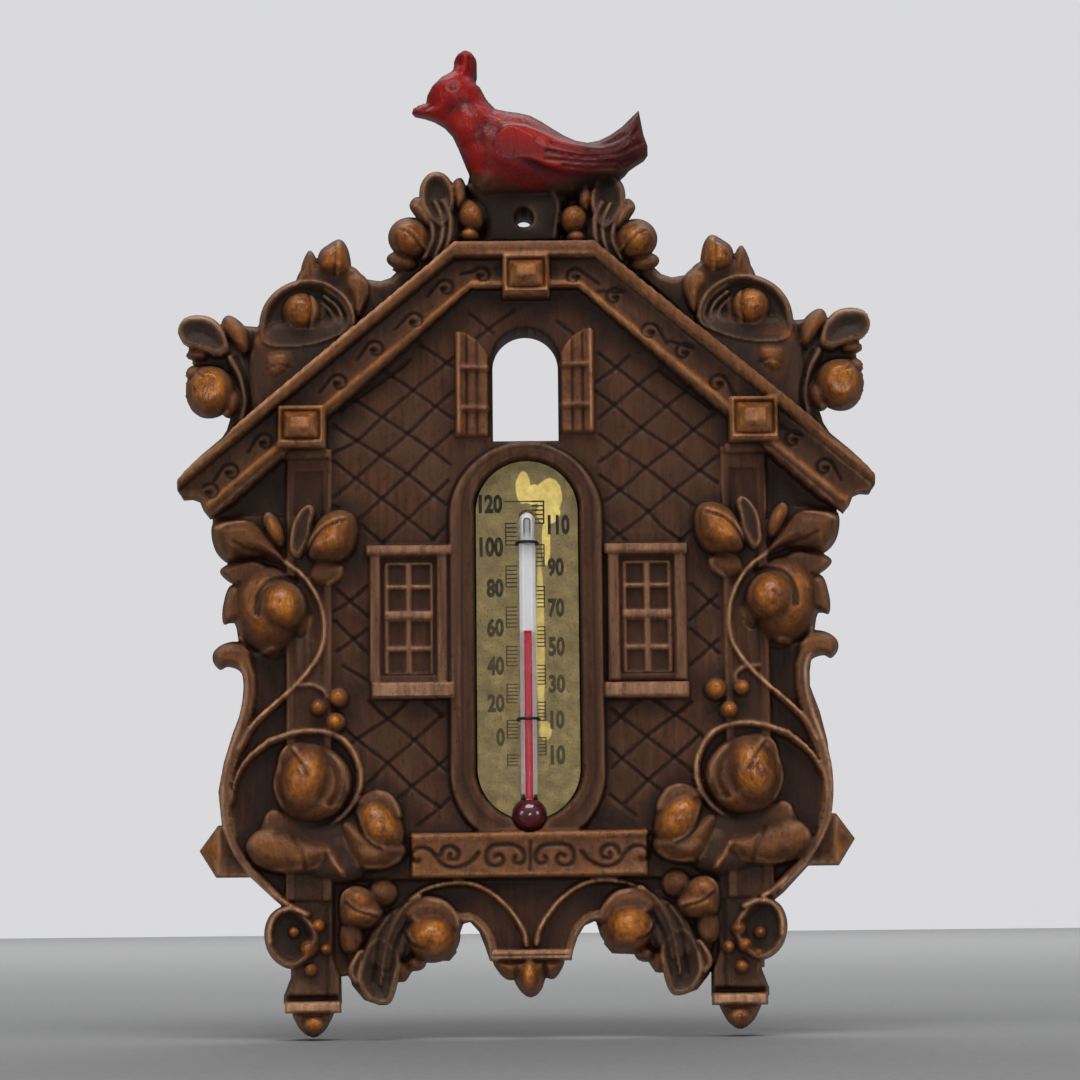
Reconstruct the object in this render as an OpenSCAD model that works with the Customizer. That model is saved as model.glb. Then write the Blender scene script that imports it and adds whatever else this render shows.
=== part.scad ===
// Wall thermometer: a moulded house-shaped plaque that carries a brass scale and a spirit tube.
// X runs right as seen from the front, Z up, and the front faces -Y. The origin is the centre of
// the hanging hole on the flat back. Depths are measured forward from that back.

/* [Plaque] */
// Distance between the centre lines of the two pilasters
house_w = 76.8; // [64:0.2:93]
// Depth of the tiled wall
wall_depth = 9; // [8.5:0.1:12]
// Depth of the plain ground behind the leaves
ground_depth = 7.5; // [6:0.1:8]
// Height of the shelf's top edge below the hanging hole
shelf_drop = 109.4; // [107:0.2:132]
// Height of the shelf band
shelf_h = 7.4; // [6:0.1:9]
// Width of the shelf band
shelf_w = 41; // [34:0.5:50]

/* [Roof] */
// Height of the roof's flat top below the hanging hole
roof_drop = 4.9; // [4:0.1:6]
// Half the length of the roof's flat top
ridge_half = 12.4; // [10:0.1:15]
// How far each eave reaches beyond the pilaster's centre line
eave_over = 23.4; // [19.5:0.1:28]
// Slope of the roof in degrees
roof_pitch = 40.2; // [34:0.1:44]
// Height of the light rail along the roof's edge, measured upright
rail_h = 2.9; // [2.2:0.1:4]
// Height of the carved fascia below the rail, measured upright
fascia_h = 5.6; // [4.6:0.1:7]
// Depth of the rail
rail_depth = 14.5; // [12:0.1:18]
// Depth of the fascia
fascia_depth = 12; // [10.5:0.1:14]
// Width of each square corbel
corbel_w = 8.2; // [6.8:0.1:10]
// Height of each square corbel
corbel_h = 7.2; // [6:0.1:8.6]
// Depth of the corbels at the point of their pyramids
corbel_depth = 17; // [15:0.1:20]

/* [Arched opening] */
// Width of the arched hole
arch_w = 11.8; // [10:0.1:14]
// Height of the arched hole
arch_h = 20.4; // [17:0.1:20.6]
// Top of the arched hole below the hanging hole
arch_drop = 19.8; // [19:0.1:22]
// Width of each shutter
shutter_w = 5.6; // [4.6:0.1:6.8]
// How far the shutters stand proud of the wall
shutter_proud = 1.4; // [0.8:0.1:2.4]

/* [Windows] */
// Distance of each window's centre line from the middle
window_x = 20.8; // [20:0.1:24]
// Width between the outer edges of the jambs
window_w = 13.4; // [11:0.1:14]
// Height from the sill's foot to the lintel's top
window_h = 27; // [22.5:0.5:32]
// Top of the lintel below the hanging hole
window_drop = 58.9; // [58:0.1:64]
// Width of the wooden bars of the frame
jamb_w = 1.8; // [1.4:0.1:2.4]

/* [Hanging hole] */
// Bore of the hole that hangs on a nail
hang_d = 3.4; // [2.8:0.1:4.2]
// Depth of the stand around the hole
stand_depth = 10.5; // [9:0.1:13]

/* [Scale plate] */
// Width of the brass scale plate
plate_w = 18; // [15:0.2:21.6]
// Length of the brass scale plate over its round ends
plate_l = 63.4; // [58:0.2:66]
// Thickness of the brass sheet
plate_t = 0.4; // [0.3:0.1:0.8]
// Depth of the plate's face
plate_depth = 7.7; // [7.4:0.1:8.4]
// Gap between the plate's edge and the recess around it
plate_clear = 0.3; // [0.15:0.05:0.6]
// Width of the raised surround outside the recess
surround_w = 4.2; // [3.4:0.1:5]
// How far the surround stands proud of the wall
surround_proud = 1.3; // [0.8:0.1:2]
// Thickness of the glue pads behind the plate
glue_t = 0.3; // [0.2:0.05:0.5]

/* [Glass tube] */
// Outer diameter of the stem
stem_d = 2.9; // [2.4:0.1:3.5]
// Outer diameter of the bulb
bulb_d = 5.8; // [5:0.1:7]
// Wall of the bulb
bulb_wall = 0.4; // [0.3:0.05:0.6]
// Diameter of the bore that holds the thread of spirit
bore_d = 1.1; // [0.8:0.1:1.4]
// Diameter of the chamber at the sealed top
chamber_d = 1.7; // [1.5:0.1:1.9]
// Distance of the bulb's centre above the plate's lower end
bulb_rise = 0.8; // [0:0.1:2]
// Height of the tube from the bulb's centre to its sealed top
tube_l = 53.8; // [45:0.2:55]
// Gap between the stem and what it lies on
tube_clear = 0.05; // [0.03:0.01:0.15]
// Width of the white strip in the back of the stem
backing_w = 1.9; // [1.5:0.1:2]
// Thickness of the white strip in the back of the stem
backing_t = 0.25; // [0.15:0.05:0.35]
// Gap between the spirit and the glass of the bulb
bulb_gap = 0.12; // [0.1:0.01:0.2]
// Gap between the thread of spirit and the bore
thread_gap = 0.05; // [0.04:0.01:0.1]

/* [Reading] */
// Reading at rest, in degrees Fahrenheit
reading_f = 57.5; // [-10:0.5:100]
// Height of the zero mark above the plate's lower end
zero_rise = 14.3; // [12:0.1:17]
// Rise of the spirit for each degree near zero
mark_step = 0.3025; // [0.25:0.0005:0.32]
// Growth of that rise with each degree
mark_growth = 0.000389; // [0.0002:0.00001:0.0005]

/* [Wire clips] */
// Diameter of the clip wire
wire_d = 0.5; // [0.4:0.05:0.7]
// Gap between the clip and the stem
clip_clear = 0.08; // [0.06:0.01:0.2]
// Height of the upper clip above the plate's lower end
upper_clip_rise = 48.6; // [44:0.1:50]
// Height of the lower clip above the plate's lower end
lower_clip_rise = 17.5; // [16:0.1:22]
// Length of each clip foot behind the plate
foot_l = 1.6; // [1:0.1:2.5]

/* [Bird and legs] */
// Depth of the bird's body at its fullest
bird_depth = 15.5; // [12:0.1:18]
// Height of each leg's cap below the shelf's top edge
leg_drop = 29; // [26:0.1:34]
// Width of each leg's shaft
leg_w = 7.4; // [6:0.1:9]
// Depth of the legs
leg_depth = 8.6; // [8:0.1:11]

/* [Hidden] */
$fn = 48;

sink = 3;                                   // depth at which raised features start inside the ground
over = 1;                                   // how far a cut runs past a face
rim = 0.7;                                  // how much wider the ground is than a leaf on it
swell = 0.22;                               // height of a leaf's axis above the ground, by its width
pil_x = house_w / 2;
eave_x = pil_x + eave_over;
shelf_z = -shelf_drop;
shelf_low = shelf_z - shelf_h;
plate_low = shelf_z + 2.3;
plate_back = plate_depth - plate_t;
floor_depth = plate_back - glue_t;
stem_r = stem_d / 2;
bulb_r = bulb_d / 2;
bore_r = bore_d / 2;
tube_depth = plate_depth + stem_r + tube_clear;
bulb_z = plate_low + bulb_rise;
tube_top = bulb_z + tube_l;
bulb_in = bulb_r - bulb_wall;
neck_z = bulb_z + bulb_in;                  // foot of the thread, where the bore leaves the bulb
chamber_z = tube_top - stem_r - 1.2;        // centre of the chamber
thread_r = bore_r - thread_gap;
surface_t = 0.4;                            // thickness of the moving top of the spirit
surface_z = mark_z(reading_f);
backing_front = tube_depth - bore_r - 0.12; // depth of the white strip's face
backing_low = bulb_z + bulb_r + 0.6;
backing_top = tube_top - stem_r - 2.6;
notch_r = bulb_r + 0.15;                    // cut-out of the plate around the bulb
clip_r = stem_r + clip_clear + wire_d / 2;
clip_hole_d = wire_d + 0.2;

echo(tube_top = tube_top, surface_z = surface_z, bulb_z = bulb_z, eave_z = roof_z(eave_x),
     tube_depth = tube_depth, chamber_foot = chamber_z - chamber_d / 2,
     highest_mark = mark_z(105), lowest_mark = mark_z(-20));

// Height of the upper roof edge at x
function roof_z(x) = -roof_drop - max(0, abs(x) - ridge_half) * tan(roof_pitch);

// Height of a reading on the scale
function mark_z(f) = plate_low + zero_rise + mark_step * f + mark_growth * f * f;

// Extrudes a front view from one depth to another
module front(from, to) translate([0, -from, 0]) rotate([90, 0, 0])
    linear_extrude(height = to - from) children();

// A shape and its mirror image on the other side of the middle
module pair() {
    children();
    mirror([1, 0, 0]) children();
}

module box2(x0, z0, x1, z1) translate([x0, z0]) square([x1 - x0, z1 - z0]);

// Upright outline with a half circle at each end
module stadium(w, l, foot) {
    translate([-w / 2, foot + w / 2]) square([w, l - w]);
    translate([0, foot + w / 2]) circle(d = w);
    translate([0, foot + l - w / 2]) circle(d = w);
}

// Front view of a lobe: a strip with round ends
module lobe2(x, z, w, l, turn) translate([x, z]) rotate(turn) {
    translate([-w / 2, -(l - w) / 2]) square([w, l - w]);
    translate([0, -(l - w) / 2]) circle(d = w);
    translate([0, (l - w) / 2]) circle(d = w);
}

// Swollen lobe with round ends, sunk into the ground
module lobe(x, z, w, l, turn, axis_depth) {
    translate([x, -axis_depth, z]) rotate([0, -turn, 0]) rotate_extrude() intersection() {
        lobe2(0, 0, w, l, 0);
        translate([0, -l]) square([w, 2 * l]);
    }
}

// Lobe of a leaf, with its axis a little above the ground's face
module leaf(x, z, w, l, turn) lobe(x, z, w, l, turn, ground_depth + w * swell);

// Round bulb on a short foot that reaches into the ground
module bulb(x, z, r, top) {
    translate([x, -(top - r), z]) sphere(r);
    translate([x, -sink, z]) rotate([90, 0, 0]) cylinder(r = r * 0.7, h = top - r - sink);
}

// Raised vine along part of a ring, from angle a0 over the sweep
module vine(x, z, r, a0, sweep, t, top) translate([x, -sink, z]) rotate([90, 0, 0])
    rotate([0, 0, a0]) rotate_extrude(angle = sweep) translate([r - t, 0]) square([2 * t, top - sink]);

// Band under the roof's upper edge, from one upright distance below it to another
module roof_band(near, far, end) polygon([
    [-end, roof_z(end) - near], [-ridge_half, -roof_drop - near], [ridge_half, -roof_drop - near],
    [end, roof_z(end) - near], [end, roof_z(end) - far], [ridge_half - far * 0.35, -roof_drop - far],
    [far * 0.35 - ridge_half, -roof_drop - far], [-end, roof_z(end) - far]]);

// Outline of the house wall down to the apron's lower edge
module house2() {
    side = pil_x + 13;
    apron_z = shelf_z - 20.6;
    polygon([
        [-side - 1, roof_z(side) - 4], [-ridge_half, -roof_drop - 1], [ridge_half, -roof_drop - 1],
        [side + 1, roof_z(side) - 4], [side + 1, shelf_z + 50], [side - 0.6, shelf_z + 34],
        [side - 2.4, shelf_z + 25], [side - 0.4, shelf_z + 15], [side + 1, shelf_z + 8],
        [side + 1, shelf_z + 3], [side - 3, shelf_z - 7], [pil_x + 5.6, shelf_z - 11],
        [pil_x + 2, shelf_z - 14], [pil_x - 4, shelf_z - 14], [pil_x - 6, shelf_z - 17],
        [pil_x - 12, shelf_z - 15], [10, shelf_z - 14.8], [8, shelf_z - 17], [6.9, apron_z],
        [-6.9, apron_z], [-8, shelf_z - 17], [-10, shelf_z - 14.8], [12 - pil_x, shelf_z - 15],
        [6 - pil_x, shelf_z - 17], [4 - pil_x, shelf_z - 14], [-pil_x - 2, shelf_z - 14],
        [-pil_x - 5.6, shelf_z - 11], [3 - side, shelf_z - 7], [-side - 1, shelf_z + 3],
        [-side - 1, shelf_z + 8], [0.4 - side, shelf_z + 15], [2.4 - side, shelf_z + 25],
        [0.6 - side, shelf_z + 34], [-side - 1, shelf_z + 50]]);
}

// Outline of the leaves over the roof
module roof_leaves2() {
    translate([38.5, roof_z(38.5) + 8.6]) circle(9);
    translate([17, roof_z(17) + 4.5]) circle(6.5);
    translate([54.5, roof_z(54.5) + 9.4]) circle(5.6);
    translate([45, roof_z(45) + 3.6]) circle(6);
    translate([28, roof_z(28) + 1.6]) circle(4.6);
    translate([53.4, roof_z(53.4) + 14]) circle(4.6);
    translate([34, roof_z(34) + 14.4]) circle(3.3);
    for (f = roof_lobes) lobe2(f[0], roof_z(f[0]) + f[1], f[2] + rim, f[3] + rim, f[4]);
}

// Each [x, height above the roof's edge, width, length, turn]
roof_lobes = [
    [58, 22.2, 6.4, 8.4, 62], [52, 17.2, 3.4, 6, 32], [59.4, 18, 2.2, 3.4, 70],
    [59.6, 15, 2, 3, 80], [38.4, 18.6, 3.2, 4.8, 12], [30, 7.6, 3, 5, -15],
    [16.2, 12.6, 6.2, 8.2, 8], [11, 5.2, 3.6, 5.4, -5], [11.4, 8.6, 2.2, 4.6, 20],
    [21.8, 4, 2.6, 4.6, 75], [45, 5.6, 4.4, 6.4, 10]];

module roof_leaves() {
    for (f = roof_lobes) leaf(f[0], roof_z(f[0]) + f[1], f[2], f[3], f[4]);
    bulb(54.8, roof_z(54.8) + 9.4, 4.4, 17.5);
    bulb(39.4, roof_z(39.4) + 10.6, 3.3, 15.5);
    bulb(33.8, roof_z(33.8) + 14.9, 3.1, 14.5);
    bulb(20.3, roof_z(20.3) + 8.1, 3.8, 16);
    vine(38.5, roof_z(38.5) + 8.6, 8.2, -35, 235, 0.6, 11);
    vine(38.5, roof_z(38.5) + 8.6, 5.4, 20, 200, 0.5, 11.5);
}

// Leaves on the upper side, measured from the pilaster's centre line and the shelf
module upper_side_leaves() translate([pil_x, 0, shelf_z]) {
    bulb(6.6, 40.2, 5.4, 16.5);
    bulb(-5.4, 52, 4.2, 15.5);
    leaf(12.8, 53, 6.6, 9, 78);
    leaf(5.6, 53.4, 2.8, 7, 20);
    leaf(0.2, 54.4, 3, 8.4, -12);
    leaf(-3.4, 46.4, 3.4, 6, -70);
    leaf(13.2, 46.4, 3, 5, 70);
    vine(7.2, 39.6, 9.2, 95, 185, 0.55, 11.5);
    vine(6.6, 40.2, 6.6, 60, 300, 0.5, 12);
    vine(-12.4, 8.6, 26.5, 12, 52, 0.55, 11);
}

// Leaves on the lower side, inside and beside the large ring
module lower_side_leaves() translate([pil_x, 0, shelf_z]) {
    bulb(-0.5, 9.4, 6.2, 17);
    bulb(-11.8, 1.8, 4.3, 15.5);
    leaf(6.4, -2.8, 6.8, 9.6, 70);
    leaf(-10.8, 7.4, 3.8, 6.4, 60);
    leaf(-9.4, -3.8, 4.2, 8.4, 62);
    leaf(-3.6, -4.4, 3.6, 7, 25);
    vine(1.4, 9.8, 9.9, 0, 359, 0.55, 11.5);
    vine(1.4, 9.8, 8, 60, 150, 0.5, 11);
    bulb(-5.1, 24, 1.6, 12.2);
    bulb(-1.6, 22.8, 1.5, 12.2);
    bulb(-4.3, 20, 1.6, 12.2);
}

// Leaves between the apron and the legs, with their outline
module foot_lobes2() translate([pil_x, shelf_z]) {
    translate([-21, -17.4]) circle(4.7);
    lobe2(-11.8, -23, 7.6, 14, 4);
    lobe2(-17, -21, 4.6, 8, 20);
    lobe2(-8, -21.4, 3.6, 7, -15);
    lobe2(-9.4, -12.8, 7.4, 12, 8);
}

module foot_leaves() translate([pil_x, 0, shelf_z]) {
    bulb(-21, -17.4, 4.6, 15.5);
    bulb(-9.4, -10.6, 3, 13.5);
    leaf(-11.8, -23, 7.2, 13.6, 4);
    leaf(-17, -21, 4.2, 7.6, 20);
    leaf(-8, -21.4, 3.2, 6.6, -15);
    leaf(-14, -9, 4.4, 5.6, 40);
    vine(-26, -19.2, 11.4, 8, 132, 0.5, 10);
}

// Side scroll from the curl under the eave to the side block
module side_scroll2() translate([pil_x, shelf_z]) {
    translate([14.2, 31.2]) circle(2.3);
    translate([12.2, 32.2]) circle(2);
    polygon([[10, 33.6], [15.6, 32.2], [12.4, 29.4], [11.6, 26], [12.2, 20], [14.4, 13],
             [14.8, 5], [14.2, 0], [8, 0], [10, 13], [8.6, 25]]);
}

module side_block2() translate([pil_x, shelf_z])
    polygon([[9, 1.6], [15.4, 1.6], [18.3, -2.7], [15.4, -7.2], [9, -7.2]]);

module side_scroll() translate([pil_x, 0, shelf_z]) {
    vine(-14.2, 6.4, 27.6, -28, 66, 0.7, 10.6);
    translate([14, -sink, 31.2]) rotate([90, 0, 0]) cylinder(r = 1.5, h = 10.2 - sink);
    translate([14.6, -6.4, -2.8]) rotate([0, 90, 0]) rotate(45)
        cylinder(r1 = 4.4, r2 = 0.6, h = 3.6, $fn = 4);
}

// One leg with its curl, berries, cap and drop, and its outline
module leg2() translate([pil_x - 1.6, shelf_z]) {
    translate([3.8, -17.6]) circle(4.7);
    polygon([[-leg_w / 2, -10], [leg_w / 2, -10], [leg_w / 2, -leg_drop + 4.4], [4.8, 1 - leg_drop],
             [-4.8, 1 - leg_drop], [-leg_w / 2, -leg_drop + 4.4]]);
    box2(-4.9, -leg_drop - 1.2, 4.9, 1 - leg_drop);
    translate([0, -leg_drop - 3]) circle(3.1);
}

module leg() translate([pil_x - 1.6, 0, shelf_z]) {
    front(sink, leg_depth) box2(-leg_w / 2, 2 - leg_drop, leg_w / 2, -9);
    front(sink, leg_depth + 1.6) box2(-4.9, -leg_drop - 1.2, 4.9, 0.9 - leg_drop);
    bulb(0, -leg_drop - 3, 3, 10.4);
    vine(3.8, -17.6, 3.8, -150, 290, 0.5, 10.2);
    bulb(-0.5, -17, 1.3, 10.6);
    bulb(3.4, -17.4, 1, 10.2);
    bulb(0.6, -20, 1.5, 11);
    bulb(-2.2, -20.2, 1, 10.4);
    bulb(0, -23.6, 1.2, 10.6);
}

// Bird and its stand, seen from the front with the beak to the left
module bird2() {
    polygon([
        [-19.9, 18.7], [-18.8, 20.4], [-17.3, 21], [-16.8, 23.5], [-14.6, 26.2], [-12.5, 27.6],
        [-12.3, 30.2], [-11.5, 31.1], [-10.2, 31.4], [-8.9, 31], [-8.2, 29.8], [-8.5, 25.8],
        [-7.4, 23.4], [-5.4, 20.1], [-3.4, 19.1], [1.2, 18.3], [5.3, 15.8], [9.4, 13.6],
        [13.6, 13.5], [17.7, 16], [20.7, 19.1], [21.4, 15], [22.2, 12], [21.5, 9.7], [18.8, 7.9],
        [16.7, 5.6], [7.4, 3.6], [6.4, -3.4], [-8, -4.5], [-9, 2], [-9.9, 8], [-11.6, 12.2],
        [-13.8, 15.8], [-16.6, 17.5]]);
}

module bird() {
    front(0.5, ground_depth) bird2();
    front(sink, stand_depth) polygon([[-6.6, -4], [5.6, -4], [7, 4.6], [-8, 5.4]]);
    lobe(-2.2, 11.4, 9.6, 18, 62, bird_depth - 4.8);
    lobe(7, 10.4, 6.4, 25, 84, bird_depth - 6.4);
    leaf(17.8, 12.6, 5, 9, 118);
    bulb(-12.2, 22.4, 4.6, bird_depth - 1.1);
    leaf(-10.2, 28.2, 3.2, 6, 0);
    leaf(-17, 19.4, 2.4, 5.4, 75);
}

// Square corbel with a pyramid face
module corbel(x, z) translate([x, 0, z]) {
    front(sink, corbel_depth - 2.6) box2(-corbel_w / 2, -corbel_h / 2, corbel_w / 2, corbel_h / 2);
    translate([0, -(corbel_depth - 2.7), 0]) rotate([90, 0, 0]) scale([1, corbel_h / corbel_w, 1])
        rotate(45) cylinder(d1 = corbel_w * 1.2, d2 = corbel_w * 0.5, h = 2.6, $fn = 4);
}

// One open shutter of the arched opening, to the right of the middle
module shutter() {
    inner = arch_w / 2 + 0.5;
    foot = -arch_drop - arch_h + 1;
    front(sink, wall_depth + shutter_proud) polygon([
        [inner, foot], [inner + shutter_w, foot], [inner + shutter_w, -arch_drop - 0.6],
        [inner + shutter_w * 0.7, -arch_drop - 0.9], [inner + shutter_w * 0.3, -arch_drop - 2.6],
        [inner, -arch_drop - 5]]);
    for (rise = [3.6, 11]) front(sink, wall_depth + shutter_proud + 0.5)
        box2(inner + 0.2, foot + rise, inner + shutter_w - 0.2, foot + rise + 1.3);
}

// One window to the right of the middle: frame, sash bars, lintel and sill
module window() translate([window_x, 0, -window_drop]) {
    half = window_w / 2;
    pane = half - jamb_w - 0.9;
    glass_top = -2.8;
    glass_low = 4.2 - window_h;
    rail_z = (glass_top + glass_low) / 2;
    front(sink, wall_depth + 1.2) difference() {
        box2(-half, 2.6 - window_h, half, -0.5);
        box2(-half + jamb_w, glass_low - 0.9, half - jamb_w, glass_top + 0.9);
    }
    front(sink, wall_depth + 0.5) difference() {
        box2(-half + 0.4, glass_low - 1.4, half - 0.4, glass_top + 1.4);
        for (side = [-1, 0], row = [0, 1, 2, 3]) let (pane_h = (glass_top - glass_low) / 4)
            box2(side * pane + 0.3, glass_low + row * pane_h + 0.3,
                 (side + 1) * pane - 0.3, glass_low + (row + 1) * pane_h - 0.3);
    }
    front(sink, wall_depth + 1) box2(-half + 0.6, rail_z - 0.35, half - 0.6, rail_z + 0.35);
    front(sink, wall_depth + 2.2) box2(-half - 0.7, -1.9, half + 0.7, 0);
    front(sink, wall_depth + 2.8) box2(-half - 0.7, -window_h, half + 0.7, 3 - window_h);
}

// Pilaster to the right of the middle, with its sunk panel
module pilaster() translate([pil_x, 0, 0]) difference() {
    front(sink, wall_depth + 1.1) box2(-4, shelf_z - 9, 4, roof_z(pil_x) - rail_h - fascia_h - 1);
    front(wall_depth + 0.5, wall_depth + 3)
        box2(-2.4, shelf_z - 8, 2.4, roof_z(pil_x) - rail_h - fascia_h - 6);
}

// Raised surround with the recess that takes the plate
module surround() front(sink, wall_depth + surround_proud) intersection() {
    stadium(plate_w + 2 * (plate_clear + surround_w), plate_l + 2 * (plate_clear + surround_w),
            plate_low - plate_clear - surround_w);
    box2(-house_w / 2, shelf_z - 2, house_w / 2, 0);
}

module apron() {
    front(sink, wall_depth + 2.6) box2(-shelf_w / 2, shelf_low, shelf_w / 2, shelf_z);
    front(sink, wall_depth + 1.6) box2(-6.7, shelf_z - 22, 6.7, shelf_z - 20.3);
    for (side = [-1, 1]) {
        vine(side * 12, shelf_z - 20.8, 12.4, side > 0 ? 40 : 20, 120, 0.5, wall_depth + 0.9);
        vine(side * 12.6, shelf_z - 20.6, 5.4, side > 0 ? 70 : 0, 110, 0.8, wall_depth + 1.2);
        bulb(side * 3.9, shelf_z - 23, 2.3, 8.6);
    }
    leaf(0, shelf_z - 24.8, 4.8, 8, 0);
}

// Tapered pocket and bores that open the plaque
module plaque_cuts() {
    front(floor_depth, wall_depth + 6) stadium(plate_w + 2 * plate_clear, plate_l + 2 * plate_clear,
                                               plate_low - plate_clear);
    for (rise = [upper_clip_rise, lower_clip_rise]) front(floor_depth - wire_d - 0.2, floor_depth + over)
        box2(-clip_r - foot_l - 0.8, plate_low + rise - 1, clip_r + foot_l + 0.8, plate_low + rise + 1);
    translate([0, -tube_depth, bulb_z]) sphere(notch_r);
    translate([0, -tube_depth, bulb_z]) rotate([90, 0, 0]) cylinder(r = notch_r, h = 2 * wall_depth);
    front(-over, 2 * wall_depth) {
        box2(-arch_w / 2, -arch_drop - arch_h, arch_w / 2, -arch_drop - arch_w / 2);
        translate([0, -arch_drop - arch_w / 2]) circle(d = arch_w);
    }
    translate([0, over, 0]) rotate([90, 0, 0]) cylinder(d = hang_d, h = stand_depth + 2 * over);
}

// Plain ground that carries every leaf, scroll and leg
module ground() front(0, ground_depth) {
    house2();
    roof_band(0, rail_h + fascia_h + 3, eave_x - 1.2);
    bird2();
    pair() {
        roof_leaves2();
        foot_lobes2();
        side_scroll2();
        side_block2();
        leg2();
    }
    box2(-6.3, shelf_z - 23, 6.3, shelf_z - 20);
    lobe2(0, shelf_z - 24.8, 5.4, 8.4, 0);
    pair() translate([3.9, shelf_z - 23]) circle(2.6);
}

// Wall, roof and everything on them that has straight edges
module house() {
    front(sink, wall_depth) intersection() {
        house2();
        box2(-pil_x, shelf_z - 20, pil_x, 0);
    }
    front(sink, fascia_depth) roof_band(rail_h - 0.5, rail_h + fascia_h, eave_x - 3);
    front(sink, rail_depth) roof_band(0, rail_h, eave_x);
    corbel(0.3, -roof_drop - rail_h - corbel_h / 2);
    surround();
    pair() {
        corbel(pil_x + 1.5, roof_z(pil_x + 1.5) - rail_h - corbel_h / 2 - 1.4);
        shutter();
        window();
        pilaster();
    }
}

module plaque() color([0.27, 0.17, 0.12]) difference() {
    union() {
        ground();
        house();
        bird();
        apron();
        pair() {
            roof_leaves();
            upper_side_leaves();
            lower_side_leaves();
            foot_leaves();
            side_scroll();
            leg();
        }
    }
    plaque_cuts();
}

module scale_plate() color([0.55, 0.48, 0.3]) difference() {
    front(plate_back, plate_depth) stadium(plate_w, plate_l, plate_low);
    for (rise = [upper_clip_rise, lower_clip_rise], side = [-1, 1])
        translate([side * clip_r, -plate_back + over, plate_low + rise]) rotate([90, 0, 0])
            cylinder(d = clip_hole_d, h = plate_t + 2 * over);
    translate([0, -plate_back + over, bulb_z]) rotate([90, 0, 0])
        cylinder(r = notch_r, h = plate_t + 2 * over);
}

// Two pads of glue between the recess floor and the plate
module plate_adhesive() color([0.75, 0.68, 0.5]) for (rise = [12, 30]) front(floor_depth, plate_back)
    translate([0, plate_low + rise]) {
        square([9, 4], center = true);
        for (side = [-1, 1]) translate([side * 4.5, 0]) circle(d = 4);
    }

// Outer form of the stem and bulb
module tube_outside() translate([0, -tube_depth, 0]) {
    translate([0, 0, bulb_z]) sphere(bulb_r);
    translate([0, 0, bulb_z]) cylinder(r = stem_r, h = tube_l - stem_r);
    translate([0, 0, tube_top - stem_r]) sphere(stem_r);
}

module backing_block() translate([-backing_w / 2, -backing_front, backing_low])
    cube([backing_w, backing_t, backing_top - backing_low]);

module glass_tube() color([0.85, 0.88, 0.88, 0.6]) difference() {
    tube_outside();
    translate([0, -tube_depth, bulb_z]) sphere(bulb_in);
    translate([0, -tube_depth, bulb_z]) cylinder(r = bore_r, h = chamber_z - bulb_z);
    translate([0, -tube_depth, chamber_z]) sphere(d = chamber_d);
    backing_block();
}

module tube_backing() color("white") backing_block();

module bulb_spirit() color([0.45, 0.03, 0.07]) translate([0, -tube_depth, bulb_z]) intersection() {
    sphere(bulb_in - bulb_gap);
    translate([-bulb_r, -bulb_r, -bulb_r]) cube([bulb_d, bulb_d, bulb_r + bulb_in - bulb_gap - 0.1]);
}

// Thread of spirit from the bulb's neck to the moving surface
module spirit_column() color([0.7, 0.06, 0.1]) translate([0, -tube_depth, neck_z])
    cylinder(r = thread_r, h = surface_z - surface_t - neck_z);

module spirit_surface() color([0.8, 0.1, 0.14]) translate([0, -tube_depth, surface_z - surface_t])
    cylinder(r = thread_r, h = surface_t);

// Wire staple: a half ring over the stem, two legs through the plate and two feet behind it
module clip(rise) color([0.13, 0.1, 0.09]) translate([0, -tube_depth, plate_low + rise]) {
    leg_l = tube_depth - plate_back + wire_d / 2 + 0.05;
    rotate([0, 0, 180]) rotate_extrude(angle = 180) translate([clip_r, 0]) circle(d = wire_d);
    for (side = [-1, 1]) translate([side * clip_r, 0, 0]) {
        rotate([-90, 0, 0]) cylinder(d = wire_d, h = leg_l);
        translate([0, leg_l, 0]) sphere(d = wire_d);
        translate([0, leg_l, 0]) rotate([0, side * 90, 0]) cylinder(d = wire_d, h = foot_l);
    }
}

module upper_clip() clip(upper_clip_rise);

module lower_clip() clip(lower_clip_rise);

plaque();
scale_plate();
plate_adhesive();
glass_tube();
tube_backing();
bulb_spirit();
spirit_column();
spirit_surface();
upper_clip();
lower_clip();
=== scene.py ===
"""Looks of the wall thermometer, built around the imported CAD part.

The plaque's carved front is a height field in millimetres: x runs right, z runs up and each value is the
height above the flat back. Every leaf, bulb, bar and groove is laid on it by name, then the field is meshed.
"""

import math

import bpy
import numpy as np
from mathutils import Matrix, Vector
from mathutils.geometry import tessellate_polygon


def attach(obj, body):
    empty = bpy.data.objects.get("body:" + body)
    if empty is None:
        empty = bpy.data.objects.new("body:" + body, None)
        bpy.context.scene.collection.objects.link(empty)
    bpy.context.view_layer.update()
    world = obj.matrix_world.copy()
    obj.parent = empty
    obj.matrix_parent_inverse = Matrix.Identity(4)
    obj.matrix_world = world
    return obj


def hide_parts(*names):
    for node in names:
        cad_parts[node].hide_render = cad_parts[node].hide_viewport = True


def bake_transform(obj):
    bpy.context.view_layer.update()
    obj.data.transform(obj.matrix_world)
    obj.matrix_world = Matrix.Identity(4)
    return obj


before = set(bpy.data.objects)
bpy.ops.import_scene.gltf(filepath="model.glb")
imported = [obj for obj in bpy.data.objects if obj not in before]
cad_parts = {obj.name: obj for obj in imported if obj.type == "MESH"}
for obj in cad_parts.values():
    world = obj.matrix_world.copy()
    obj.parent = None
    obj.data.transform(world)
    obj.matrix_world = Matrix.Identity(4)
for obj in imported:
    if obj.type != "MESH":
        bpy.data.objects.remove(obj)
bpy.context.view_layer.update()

MM = 0.001


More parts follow.
